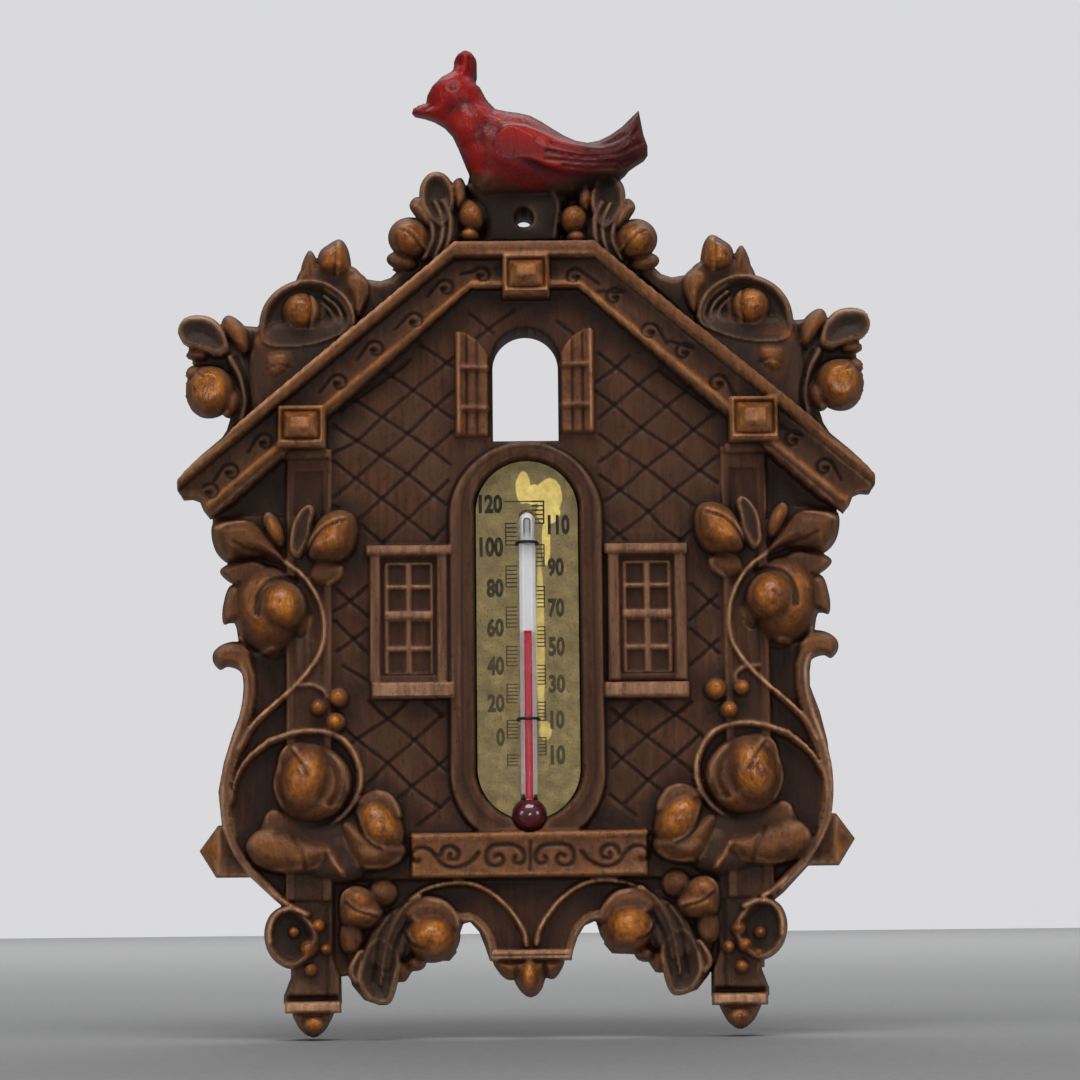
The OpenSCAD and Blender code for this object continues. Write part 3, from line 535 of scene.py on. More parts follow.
# leaves, bulbs and vines
def roof_outer(s):
    """The cluster at the eave: a hollow leaf over a bulb."""
    s.dome([(-60, -23.4), (-56, -22), (-52, -19.5), (-46, -20), (-40.8, -25), (-41, -31), (-48, -38),
            (-57.2, -44.6), (-54.6, -41.4), (-52.7, -38.4), (-51.9, -35.6), (-56, -33), (-58.6, -28)],
           8.6, 6, 0.9, glow=0, smooth=False, leaf=0.5)
    s.dome([(-54, -22), (-51, -22), (-48.6, -26), (-47.8, -32), (-49, -38), (-51.4, -37), (-52, -30)],
           10.6, 8, 2.6, glow=0, leaf=0.9)
    s.bulb(-58.2, -24.6, 2.2, 1.15, 11, 7, 12, 0.1)
    s.bulb(-58.4, -28.3, 2.0, 1.6, 12.5, 7, 0, 0.25)
    s.spoon([(-61.9, -20.4), (-61.1, -18.5), (-59, -17.7), (-56.2, -17.9), (-54.3, -19.1), (-52.9, -21.2),
             (-52.6, -23.8), (-54.6, -24.8), (-57.6, -23.8), (-60.2, -23.3), (-61.4, -22.1)],
            12.4, 1.3, 0.45, 6)
    s.dome([(-53.8, -20.2), (-53.4, -18.3), (-52.2, -17.8), (-50.3, -19), (-49, -21), (-49, -24),
            (-50.6, -24.2), (-52.4, -22.2)], 12.6, 7, 1.5, 0.35)
    s.bulb(-52.0, -33.2, 1.8, 3.1, 12.6, 7, -10, 0.2)
    s.wear_and_highlight_line([(-52.8, -31.4), (-53.1, -33.2), (-52.6, -35.2)], 0.25, 0.6)
    s.bulb(-55.8, -31.2, 4.7, 5.1, 16.4, 6, 0, 1.0)
    s.crease([(-57.6, -28.4), (-56.2, -29.8), (-55.8, -31)], 0.3, 0.45, 0.5)
    s.ridge([(-52.4, -25), (-50.6, -28.4), (-49.7, -33), (-50.3, -37.4)], 0.5, 10.9, 0.16, crown=0.6)
    s.groove([(-51.2, -25), (-49.8, -28.6), (-48.9, -33), (-49.4, -37)], 0.5, 0.5, 0.5)
    s.dome([(-48.6, -25.4), (-47, -24.4), (-44.6, -26.4), (-44.2, -30.4), (-46.6, -31.6), (-48.2, -30)],
           10.8, 8, 1.6, glow=0, leaf=0.8)
    s.dome([(-48.5, -22.6), (-47.6, -21), (-45.6, -20.5), (-44.8, -21.8), (-45.2, -23.8), (-47.4, -24.2)],
           12.0, 8, 1.5, 0.3)
    s.dome([(-46.6, -24.4), (-44, -23.4), (-41.4, -23.9), (-40.6, -25.6), (-41.6, -28.2), (-43.8, -29.8),
            (-46, -29), (-46.8, -26.6)], 13.0, 8, 2.4, 0.4)
    s.groove([(-45.6, -27.6), (-43.6, -26.9), (-41.4, -27.4)], 0.3, 0.3, 0.4)


def roof_mid(s):
    """The cluster halfway up the roof: a hood with a bulb in it."""
    s.dome([(-47.6, -21), (-46, -16), (-40, -12.2), (-39.4, -10.4), (-31, -10.4), (-28.2, -11.4),
            (-25.6, -11.8), (-23.8, -11.2), (-21.5, -9), (-14, -6.5), (-30, -21), (-44, -33)],
           8.8, 6, 0.9, glow=0, smooth=False, leaf=0.5)
    s.dome([(-40.4, -12.6), (-39.5, -9.4), (-37, -8.4), (-33, -8.6), (-30, -9.4), (-28.6, -12),
            (-29.4, -17), (-32, -17), (-36, -14)], 11.4, 8, 1.4, glow=0, leaf=0.7)
    s.dome([(-39.6, -11.2), (-39.5, -8.6), (-38.2, -6.1), (-36.9, -7.7), (-36.4, -10.4), (-37.8, -12.2)],
           11.6, 7, 1.3, 0.15)
    s.groove([(-38.2, -7.4), (-38.0, -10.8)], 0.25, 0.3, 0.5)
    s.dome([(-31.9, -10.4), (-30.1, -10.0), (-28.3, -11.0), (-27.7, -12.9), (-28.3, -15.4), (-29.3, -18.2),
            (-30.3, -17.2), (-30.9, -14.8), (-32.2, -12.8)], 12.6, 8, 1.5, 0.3)
    s.wear_and_highlight_line([(-28.6, -11.4), (-28.1, -13), (-28.8, -15.6), (-29.6, -17.6)], 0.22, 0.5)
    s.spoon([(-47.1, -21), (-46.6, -16.9), (-44.6, -13.8), (-41.6, -11.9), (-38, -11.2), (-34.6, -12),
             (-31.4, -14.6), (-29.9, -18), (-30.4, -20.6), (-33, -22), (-37, -23.4), (-42, -24),
             (-46, -23.4)], 12.6, 2.0, 0.4, 6, edge=0.35, reach=2.2)
    s.dome([(-48.4, -21.6), (-45.6, -18.6), (-42.4, -17.9), (-38.6, -18.3), (-35.4, -17.6), (-32.6, -17.2),
            (-29.6, -22), (-38, -33), (-47, -40), (-49.6, -30)], 12.0, 8, 2.6, glow=0, leaf=0.95)
    for inner, line in enumerate(([(-35.4, -13), (-32.4, -15.4), (-31.2, -18.6), (-33, -21.4)],
                                  [(-35.6, -14.3), (-33.4, -16.2), (-32.4, -18.8), (-34, -20.8)],
                                  [(-35.9, -15.6), (-34.5, -17), (-33.8, -19), (-35.2, -20.6)])):
        s.ridge(line, 0.42, 11.8 - 0.3 * inner, 0.2, crown=0.8)
    s.dome([(-36.4, -14.4), (-35.2, -16.6), (-35.6, -19.6), (-37.4, -21), (-36.6, -17.6)],
           11.6, 9, 1.0, 0.1)
    s.bulb(-39.6, -17.0, 3.7, 3.7, 15.4, 8, 0, 0.9)
    s.crease([(-38.4, -14.0), (-37.7, -17), (-38.5, -20.0)], 0.28, 0.4, 0.5)
    s.wear_and_highlight_line([(-42.2, -18.8), (-40.6, -20.2), (-38.6, -20.2)], 0.22, 0.4)
    s.dome([(-36.9, -8.4), (-36.3, -6.3), (-34.9, -5.1), (-32.9, -4.1), (-31.6, -5.3), (-30.9, -7.7),
            (-30.9, -9.9), (-32.4, -11.2), (-34.6, -10.9), (-36.5, -10)], 14.4, 6, 2.4, 1.0)
    s.crease([(-33.6, -4.9), (-33.4, -7.6), (-33.7, -10.4)], 0.28, 0.5, 0.7)


def roof_inner(s):
    """The cluster beside the bird's stand."""
    s.dome([(-23.5, -9.8), (-20.4, -5), (-18.2, 2), (-13, 5), (-9, 3), (-7, -5.2), (-12, -6), (-20, -11.5)],
           8.8, 6, 0.9, glow=0, smooth=False)
    s.dome([(-20.3, 1.4), (-19.6, 3.3), (-18.2, 3.2), (-16.8, 1), (-16.4, -1.8), (-17.6, -2)],
           11.2, 7, 1.2, 0.15)
    s.wear_and_highlight_line([(-20.0, 2.2), (-18.7, 1.8), (-17.6, 0.2), (-17, -1.6)], 0.25, 0.5)
    s.spoon([(-18.6, 3.0), (-18.4, 5.6), (-17.2, 7.5), (-15.6, 8.1), (-13.9, 7.5), (-12.6, 5.6), (-12.3, 3),
             (-13, 0), (-14.5, -2), (-16.4, -1), (-17.8, 1)], 11.8, 1.5, 0.45, 6, edge=0.6, reach=2.4)
    s.dome([(-17.2, 1.6), (-15, 3.2), (-12.8, 2.2), (-11.4, -1.6), (-11.8, -6), (-15, -8.4), (-18.4, -7),
            (-17.6, -2.4)], 10.6, 8, 1.4, glow=0, leaf=0.9)
    for inner, line in enumerate(([(-17.4, 1.0), (-16.4, -1.6), (-16.4, -4.2), (-17.8, -7.4)],
                                  [(-15.9, 2.8), (-14.7, 0), (-14.6, -3.4), (-15.9, -7.6)],
                                  [(-14.4, 3.0), (-13.2, 0.2), (-13.2, -3.2), (-14.2, -7)])):
        s.ridge(line, 0.5, 11.3 + 0.2 * inner, 0.3, crown=0.8)
    s.dome([(-12.9, 4.6), (-12.4, 6.4), (-11.1, 6.9), (-10.3, 5.2), (-10.4, 2.8), (-12, 1.6)],
           11.6, 7, 1.2, 0.5)
    s.bulb(-21.6, -8.1, 2.9, 1.7, 11.6, 7, -8, 0.1)
    s.bulb(-20.4, -3.9, 3.8, 3.7, 15.0, 7, 0, 0.75)
    s.crease([(-22.2, -2.6), (-20.4, -3.8), (-18.0, -6.0)], 0.3, 0.5, 0.6)
    s.bulb(-9.4, 0.4, 2.7, 2.9, 12.8, 7, 10, 0.6)
    s.bulb(-9.8, -3.1, 2.0, 1.7, 12.0, 7, 0, 0.5)


def side_upper(s):
    """Leaves and bulbs under the eave, with the vine that runs down from them."""
    s.dome([(-55.3, -56.5), (-54.6, -53.8), (-50, -52.6), (-40, -53), (-36, -60), (-36, -77), (-45, -79),
            (-50.5, -75.8), (-51, -72.6), (-53, -72.7), (-53.2, -70), (-51.6, -65.7), (-53.7, -63.7),
            (-52.3, -62), (-54.7, -59)], 8.9, 6, 0.9, glow=0, smooth=False)
    s.dome([(-53.8, -63.7), (-52.3, -62.2), (-48, -61), (-45, -63), (-48, -66), (-51.4, -65.8)],
           11.0, 7, 1.2, 0.1)
    s.dome([(-51.6, -65.8), (-53.2, -69.4), (-53.1, -72.8), (-51.1, -72.3), (-49.0, -74), (-47.0, -68)],
           11.0, 7, 1.4, 0.1)
    s.ridge([(-46, -60.4), (-42, -62), (-38.6, -65), (-36.2, -69.6), (-35.6, -74.2), (-36.7, -78.4),
             (-40.4, -83.2), (-44.6, -86.9), (-48.2, -90.4), (-50.4, -94.5)], 0.52, 10.5, 1.0, (0.8, 1.0),
            side=-0.12, crown=0.8)
    s.dome([(-55.3, -57.2), (-54.9, -54.8), (-52, -53.8), (-48.4, -53.9), (-46.2, -55.6), (-44.0, -58.4),
            (-42.2, -62), (-46, -61.2), (-50, -61.4), (-52.3, -62.1), (-54.4, -60.2)], 13.4, 6, 3.2, 0.12)
    s.wear_and_highlight_line([(-54.6, -55.8), (-52.4, -54.9), (-49.6, -54.5)], 0.3, 0.75)
    s.groove([(-51.4, -58.4), (-49.2, -59.4), (-46.2, -60.2), (-43, -61.6)], 0.4, 0.4, 0.5)
    s.bulb(-44.5, -55.9, 1.6, 3.7, 12.6, 8, 24, 0.5)
    s.wear_and_highlight_line([(-46.3, -55.2), (-46.1, -53.6), (-45.4, -52.9)], 0.22, 0.5)
    s.spoon([(-41.7, -57.6), (-41.2, -54.9), (-39.9, -52.5), (-38.3, -51.5), (-37.3, -52.6), (-37.7, -55),
             (-38.3, -58), (-40, -61), (-41.6, -60)], 12.0, 0.7, 0.4, 8, edge=0.5, reach=2.0)
    s.dome([(-37.4, -61.4), (-34.7, -61.2), (-32.1, -62.6), (-33.2, -65.1), (-36, -66.3), (-38.6, -64.6)],
           11.6, 8, 1.8, 0.12)
    s.wear_and_highlight_line([(-32.6, -62.3), (-33.0, -64.2), (-35.0, -65.6)], 0.28, 0.6)
    s.dome([(-38.9, -58.6), (-37.4, -55), (-35.4, -53), (-32.6, -52.3), (-30.3, -53.3), (-29.6, -56.2),
            (-30.4, -59.6), (-32.6, -61.8), (-35.8, -62.3), (-38.4, -61.2)], 15.4, 8, 4.0, 0.85)
    s.crease([(-38.4, -60.0), (-37.2, -57.9), (-35.2, -56.1), (-31.8, -54.8)], 0.36, 0.7, 0.75)
    s.wear_and_highlight_line([(-36.6, -59.2), (-35.2, -58.2), (-34.2, -57.2)], 0.5, 0.45)
    s.bulb(-39.6, -72.3, 1.9, 3.2, 11.4, 8, -12, 0.1)
    s.wear_and_highlight_line([(-41.3, -74.3), (-40.1, -75.4), (-38.6, -74.4), (-37.9, -71.4)], 0.26, 0.65)
    s.bulb(-45.5, -69.9, 6.2, 8.1, 14.8, 7, 8, 0.6)
    s.wear_and_highlight_line([(-50.3, -75.0), (-49.3, -77.2), (-47.6, -77.8), (-44.6, -76.9)], 0.26, 0.85)
    # painted highlight on the big bulb
    s.wear_and_highlight_line([(-49.3, -67.9), (-48.7, -66.8), (-47.9, -65.8)], 0.5, 0.35)
    s.groove([(-47.1, -71.2), (-46.9, -68.4), (-45.4, -66.0), (-43.2, -64.8), (-40.8, -64.9)],
             0.7, 0.9, 0.85)
    s.bulb(-42.8, -69.6, 4.1, 4.6, 16.6, 10, 15, 1.0, k=1.2)
    s.wear_and_highlight_line([(-47.1, -70.4), (-46.7, -67.8), (-45.0, -65.7), (-42.6, -64.8), (-40.4, -65.2)], 0.22, 0.6)


def side_lower(s):
    """The large bulb in its ring, and the leaves that reach to the shelf."""
    s.ridge([(-51.7, -104), (-51.2, -100.2), (-49.2, -96.4), (-45.4, -93.2)], 0.62, 10.3, 0.7, (0.25, 1.0),
            side=0.2, crown=0.8)
    s.ridge([(-45.4, -93.2), (-40.6, -91.7), (-36, -91.6), (-32.2, -93.2), (-29.9, -97), (-29.5, -100.8),
             (-31.0, -104.6), (-34.8, -107.9), (-39, -109.4)], 0.62, 10.6, 0.7, side=0.2, crown=0.8)
    s.dome([(-46, -106), (-41, -105), (-34, -107), (-30, -105.6), (-26, -110), (-29, -117), (-36, -117.6),
            (-42, -114), (-47, -111)], 11.2, 8, 3.0, glow=0, leaf=0.9)
    s.dome([(-46.2, -106.8), (-45.4, -105.2), (-43.8, -104.9), (-41, -106.2), (-40, -109.5),
            (-44.6, -109.2)], 11.0, 8, 1.3, 0.1)
    s.wear_and_highlight_line([(-45.6, -107.4), (-45.4, -105.8), (-44.0, -105.3)], 0.24, 0.5)
    s.dome([(-44.7, -101), (-44.0, -97), (-43.2, -94.6), (-41.4, -93.3), (-38.4, -93.2), (-34.2, -94.6),
            (-31.2, -98), (-30.9, -102), (-33.4, -106.2), (-38, -107.8), (-42.4, -106.2)],
           13.8, 8, 3.2, 0.3)
    s.wear_and_highlight_line([(-43.5, -98.4), (-43.3, -95.8), (-42.2, -94.1)], 0.26, 0.7)
    s.wear_and_highlight_line([(-44.3, -100.4), (-44.2, -102.3), (-43.0, -104.7)], 0.3, 0.85)
    s.wear_and_highlight_line([(-34.4, -95.4), (-32.2, -98.2), (-31.5, -101.8)], 0.26, 0.5)
    s.groove([(-36.2, -95.2), (-33.6, -98), (-33, -101.4), (-34.4, -104.4)], 0.7, 0.7, 0.6)
    s.bulb(-38.8, -99.9, 4.7, 6.5, 17.0, 9, -14, 1.0, k=0.9)
    s.crease([(-41.3, -94.8), (-39.6, -97), (-38.0, -99.8)], 0.34, 0.6, 0.75)
    # painted highlight on the golden bulb
    s.wear_and_highlight_line([(-39.4, -102.2), (-38.4, -103.4), (-37.6, -103.2)], 0.8, 0.35)
    s.wear_and_highlight_line([(-36.8, -103.4), (-35, -104.7), (-32.6, -104.4)], 0.24, 0.4)
    s.dome([(-49.5, -112), (-48.6, -109.4), (-46, -108), (-42, -108.2), (-38.6, -109.6), (-34.8, -110.6),
            (-33.4, -112.6), (-35.8, -115.2), (-39.6, -116.5), (-44, -116.1), (-47.8, -114.8)],
           13.2, 7.5, 3.4, 0.28)
    # painted highlight on the leaf's upper left
    s.wear_and_highlight_line([(-48.2, -110.9), (-46.8, -109.5), (-45.2, -109.4)], 0.8, 0.4)
    s.groove([(-41, -109.8), (-39.4, -112.6), (-38.8, -115.6)], 0.5, 0.35, 0.35)
    s.wear_and_highlight_line([(-44, -115.4), (-41.6, -115.6), (-39.4, -115)], 0.3, 0.4)
    s.wear_and_highlight_line([(-38.6, -115.6), (-36.8, -114.8), (-35.8, -113.2)], 0.22, 0.4)
    s.dome([(-35.6, -111.4), (-34.4, -111.4), (-32.6, -114), (-31.4, -116.8), (-33.2, -117),
            (-34.8, -114.6)], 11.6, 8, 1.0, 0.1)
    s.wear_and_highlight_line([(-34.9, -112.2), (-34.1, -114), (-32.7, -115.8)], 0.26, 0.8)
    s.dome([(-32.8, -108), (-31, -107), (-27, -108.6), (-22.2, -110.6), (-21.3, -112.8), (-23, -114.7),
            (-26.4, -115.8), (-29.4, -115.4), (-31.6, -112.6)], 14.2, 8, 3.2, 0.3)
    s.wear_and_highlight_line([(-32.3, -110.2), (-31.2, -112.4), (-29.8, -114.9)], 0.3, 0.6)
    s.wear_and_highlight_line([(-28.4, -115.2), (-25, -115.1), (-22.6, -113.8)], 0.3, 0.7)
    # painted highlight on the lower lobe
    s.wear_and_highlight_line([(-29.2, -112.2), (-27.6, -113), (-26.2, -112.8)], 0.5, 0.4)
    s.dome([(-30.1, -104.4), (-29.2, -102.6), (-26.8, -101.6), (-24.2, -102.3), (-22.4, -104.6),
            (-22.1, -107), (-24, -108), (-28, -107.6)], 13.6, 7.5, 2.0, 0.1)
    s.wear_and_highlight_line([(-26.4, -102.1), (-24.2, -102.9), (-22.8, -105.2), (-22.8, -106.6)], 0.3, 0.6)
    s.bulb(-26.0, -108.0, 3.9, 5.8, 15.8, 8, 32, 1.0)
    s.crease([(-29.9, -106.4), (-29.2, -109), (-27.5, -111.2), (-25.4, -112.3)], 0.3, 0.5, 0.85)


def side_band(s):
    """The scrolled band that edges the wall."""
    s.dome([(-54.9, -79.4), (-54.8, -77.6), (-53, -76.2), (-50.4, -75.9), (-48.4, -77.4), (-47.9, -80),
            (-49.2, -82), (-50.6, -80.8), (-52.4, -80.3), (-53.7, -80.8)], 11.2, 5, 1.6, 0.25)
    s.ridge([(-49.6, -79.4), (-48.7, -82), (-48.7, -85.4), (-49.5, -89.4), (-51.2, -94.4), (-52.5, -99.4),
             (-52.7, -105), (-51.6, -110.5), (-48.6, -115.2), (-43.8, -120.1)], 1.1, 11.0, 1.0, (1.0, 0.6),
            outer=True, side=-0.6, crown=0.45)
    s.ridge([(-45.2, -118.9), (-42.6, -121.0), (-41.0, -121.9)], 0.6, 10.8, 0.7, (1.0, 0.8))
    s.wear_and_highlight_line([(-50.4, -94.8), (-51.8, -99.8), (-51.9, -105), (-51.0, -109.6)], 0.2, 0.5)
    s.groove([(-53.4, -96), (-53.9, -101.4), (-53.6, -106)], 0.3, 0.25, 0.3)


def side_block(s):
    """The pointed block at the shelf's height."""
    shape = s.points([(-49.5, -107.6), (-53.9, -107.8), (-57.1, -112.2), (-54.2, -116.8), (-47.5, -116.8)])
    w, x, z = window(shape, 1.0)
    d = polygon_distance(x, z, shape)
    reach = np.maximum(s.sign * -(x - s.dx) - 53.9, 0)
    lay(w, d, 8.6 - 1.1 * reach - 0.1 * np.abs(z + 112.3 - s.dz), outer=True)
    tint(warm, w, 0.3 * (reach > 0.1) * (d < 0))
    s.wear_and_highlight_line([(-54.1, -108.6), (-54.1, -116.2)], 0.3, 0.5)
    s.wear_and_highlight_line([(-53.6, -116.3), (-49, -116.3)], 0.3, 0.4)


def foot(s):
    """Leaves and bulbs between the leg and the pendant."""
    s.dome([(-31.4, -133), (-30.8, -135.4), (-28.7, -138), (-26, -138.9), (-24.2, -138.3), (-23.2, -135),
            (-21.6, -134.9), (-20.4, -133.1), (-18.5, -132.7), (-18, -131.3), (-14, -131.4), (-12.8, -130),
            (-13, -124), (-22, -120), (-30, -120), (-33, -121), (-33, -128)],
           9.0, 5, 1.0, glow=0, smooth=False)
    s.bulb(-19.9, -131.6, 1.9, 1.5, 10.8, 6, 0, 0.1)
    s.bulb(-22.4, -132.8, 1.7, 2.2, 10.8, 6, 0, 0.1)
    s.dome([(-33.3, -126.4), (-32.4, -124.6), (-29.6, -124.4), (-28.4, -127.4), (-30, -130),
            (-32.6, -129.6)], 11.2, 7, 1.6, 0.15)
    s.spoon([(-30.6, -130.6), (-31.5, -132.6), (-31.1, -134.4), (-29.6, -135), (-28.2, -132.4),
             (-28.6, -129.4), (-29.8, -129.4)], 11.2, 0.8, 0.4, 6, edge=0.6, reach=1.6)
    s.spoon([(-29.9, -133.2), (-29.3, -136.2), (-27.7, -138.2), (-25.6, -138.95), (-24.2, -138.5),
             (-23.3, -136.6), (-22.8, -134.2), (-22.4, -130.6), (-25, -127.4), (-28, -128)],
            11.8, 1.1, 0.45, 6, edge=0.55, reach=2.6)
    s.dome([(-29.4, -131.2), (-28.6, -127.6), (-26.4, -124.2), (-22.8, -121.8), (-19, -122.4),
            (-17.6, -126), (-20.2, -130), (-22.4, -131.6), (-23.6, -133.4), (-25.4, -133.8), (-27.2, -133)],
           11.4, 7.5, 1.6, glow=0, leaf=0.8)
    s.ridge([(-19.4, -120.4), (-22.4, -123.2), (-24.4, -127), (-25.3, -131), (-25.9, -135.2)],
            0.6, 11.7, 0.05, (1.0, 0.4), crown=0.5)
    s.groove([(-23.9, -123.4), (-25.9, -127.2), (-26.6, -131), (-27.2, -135)], 0.45, 0.45, 0.6)
    s.groove([(-21.0, -124.6), (-23.0, -128), (-23.9, -132), (-24.5, -135)], 0.45, 0.45, 0.6)
    s.groove([(-20.4, -127), (-21.6, -129.4), (-22.3, -131.4)], 0.35, 0.35, 0.5)
    s.dome([(-33.2, -122.4), (-32.8, -119.6), (-30.6, -118.4), (-28, -118.8), (-26.4, -120.6),
            (-25.2, -123.2), (-27, -125.6), (-30, -126), (-32.6, -125)], 13.8, 8, 3.2, 0.5)
    s.bulb(-25.6, -119.7, 2.7, 2.6, 12.2, 8, 0, 0.15)
    s.bulb(-29.8, -120.6, 2.9, 2.2, 14.4, 10, -15, 0.6, k=0.8)
    s.crease([(-31.8, -121.2), (-29.8, -122.8), (-26.6, -123.7)], 0.3, 0.5, 0.7)
    s.wear_and_highlight_line([(-32.6, -121), (-32.4, -119.8), (-31.4, -119)], 0.3, 0.5)
    s.dome([(-22.4, -123.4), (-20.8, -120.9), (-18.4, -120.1), (-15.2, -120.6), (-12.8, -122.9),
            (-11.9, -125.4), (-12.8, -126.8), (-16, -126), (-20, -126)], 13.6, 7.5, 2.2, 0.1)
    s.wear_and_highlight_line([(-17.4, -120.8), (-15, -121.4), (-13.0, -123.3), (-12.3, -125.2)], 0.3, 0.75)
    s.bulb(-17.1, -127.0, 5.0, 4.7, 16.8, 6, -10, 1.0)
    s.crease([(-21.8, -126.6), (-20.4, -128.4), (-18.4, -129.2)], 0.34, 0.6, 0.75)
    s.wear_and_highlight_line([(-20.2, -123.9), (-19, -124.9), (-18, -126.2)], 0.3, 0.5)


def leg(s):
    """The leg with its curl, shoe and drop."""
    shaft = [(-41.3, -117), (-41.3, -134), (-42.5, -137.2), (-42.5, -138.6), (-32.5, -138.6), (-32.6, -134),
             (-33.9, -131), (-33.9, -117)]
    s.dome(shaft, 9.2, 6, 0.6, glow=0, smooth=False, leaf=0.4)
    s.spoon([(-45.9, -126.4), (-45, -123.4), (-42.8, -121.8), (-40.4, -121.9), (-38.4, -123.6),
             (-36.6, -126.6), (-37.6, -130), (-40.6, -132.4), (-43.2, -131.8), (-45.2, -129.6)],
            11.4, 1.9, 0.55, 6, edge=0.3, reach=2.2)
    s.ridge([(-38.6, -123.2), (-41, -122.2), (-43.6, -122.9), (-44.9, -125.4), (-45.0, -128)],
            0.5, 11.7, 0.8, crown=0.8)
    s.groove([(-35.2, -122), (-35.2, -137.5)], 0.3, 0.3, 0.5)
    s.groove([(-41.6, -137.6), (-33.4, -137.6)], 0.8, 1.2, 1.0)
    shape = s.points([(-42.3, -140.2), (-32.6, -138.1)])
    bar(shape[:, 0].min(), shape[0, 1], shape[:, 0].max(), shape[1, 1], 10.3, 0.7, 0.4, outer=True)
    s.dome([(-40.6, -139.6), (-40.3, -142.0), (-39.0, -143.6), (-37.4, -144.35 - min(s.dz, 0)),
            (-35.9, -143.6), (-34.7, -142.0), (-34.3, -139.6)], 9.8, 5, 3.0, 0.2)
    s.bulb(-37.4, -141.9, 2.0, 1.5, 10.2, 8, 0, 1.0)


# each cluster is drawn for the left and set a little off its mirror image on the right
for draw, dx, dz in ((roof_mid, 0.5, 0.3), (roof_inner, -0.5, -0.6), (roof_outer, -0.2, 0.4),
                     (side_block, -0.8, 1.1), (side_band, -0.8, 1.1), (side_upper, -0.4, 0.9),
                     (side_lower, -0.2, 0.7), (foot, -0.2, 1.2), (leg, -1.6, 0.7)):
    draw(LEFT)
    draw(Side(-1, dx, dz))
LEFT.ridge([(-40.3, -83.4), (-38, -83.3), (-36, -84.2), (-35, -85.6)], 0.5, 10.3, 0.5)
RIGHT.ridge([(-40.4, -80.6), (-37.8, -80.9), (-36.2, -82.2), (-36.5, -84)], 0.6, 10.3, 0.4)
for cx, cz, r in ((-33.2, -85.6, 1.75), (-36.6, -87.3, 1.55), (-33.7, -89.9, 1.75), (32.8, -84.7, 1.95),
                  (37.3, -84.5, 1.5), (35.0, -88.3, 1.6)):
    HERE.bulb(cx, cz, r, r, 12.6, 9.4, 0, 1.0)
for cx, cz, r in ((-36.7, -125.1, 1.25), (-40.9, -126.2, 1.0), (-38.3, -129.0, 1.7), (-35.4, -129.2, 1.0),
                  (-38.0, -132.7, 1.2), (36, -126.3, 1.35), (39.7, -127, 1.1), (34.2, -129.4, 1.15),
                  (37, -129.1, 1.4), (36.4, -132.8, 1.2), (39.3, -130.4, 0.7)):
    HERE.bulb(cx, cz, r, r, 11.9, 8.4, 0, 0.9)

# roof: fascia with a rubbed lip, whose pale lower line is a painted highlight, then the light rail
w, x, z = window(ROOF, 1.2)
roof = polygon_distance(x, z, ROOF)
fresh(w, roof, 0.15)
top_edge = roof_line(x, RAIL_FLAT, RAIL_TOP)
low_edge = roof_line(x, FASCIA_FLAT, FASCIA_FOOT)
lay(w, roof, ROOF_FACE, outer=True, k=0.05)
lip = bell(z - low_edge - 0.7, 0.75) * (roof < 0)
height[w] += 0.8 * np.clip(lip * 1.3, 0, 1)
tint(warm, w, 0.5 * lip)
# painted highlight along the lip's lower edge
tint(wear_and_highlight, w, 0.35 * bell(z - low_edge - 0.3, 0.4) * (roof < 0))
RAIL_WIDE = 2.9
rail = np.maximum(np.maximum(z - top_edge, top_edge - RAIL_WIDE - z), roof)
crown = np.clip(-rail / 0.5, 0, 1)
lay(w, rail, RAIL_FACE - 0.5 * (1 - rounded(crown)) + 0.25 * ramp(-rail, 0.4, 1.4), k=0.05)
tint(warm, w, 0.18 * (rail < 0))
tint(wear_and_highlight, w, (0.02 + 0.03 * (np.abs(x) < 13)) * ramp(-rail, 0.0, 0.4) * (rail < 0))
tint(dark, w, 0.8 * bell(z - top_edge + 3.1, 0.3) * (roof < 0))
# painted highlights: pale lines on the rail's top edge at the left, its lower edge at the right and along
# the fascia's foot, where the light catches these edges
LEFT.wear_and_highlight_line([(-12.4, -5.5), (-61, -46.6)], 0.32, 0.95)
RIGHT.wear_and_highlight_line([(-11.5, -7.2), (-60.5, -48.8)], 0.3, 1.0)
RIGHT.wear_and_highlight_line([(-9.6, -12.9), (-55.5, -51.8)], 0.28, 1.0)
HERE.wear_and_highlight_line([(-9.5, -12.9), (-5, -12.9)], 0.3, 0.7)
HERE.wear_and_highlight_line([(-9.5, -7.3), (12, -7.3)], 0.3, 0.8)

# scrolls incised in the fascia
CURL_R = 1.75
for cx, cz, tail in ((-7.5, -10.9, (-11.4, -10.6)), (-14, -13.2, (-17.4, -14.6)),
                     (-19.5, -19.2, (-23.2, -20.6)), (-26.5, -24.2, (-29.8, -26.0)),
                     (-33, -30.2, (-36.4, -31.8)), (-46, -40.7, (-49, -42.4)), (-52, -46, (-55, -47.4)),
                     (-55.5, -49.5, None)):
    curl(cx, cz, CURL_R, 150, -330, tail)
for cx, cz, tail in ((8.8, -11.3, (13.2, -12.6)), (15.8, -15, (12.9, -14)), (22, -21.4, (25.2, -23.6)),
                     (28, -25.1, (25.4, -23)), (34, -30.8, (37, -33)), (47, -41, (44.8, -38.5)),
                     (52.5, -46, (55.5, -48.2))):
    curl(cx, cz, CURL_R, 30, 330, tail)

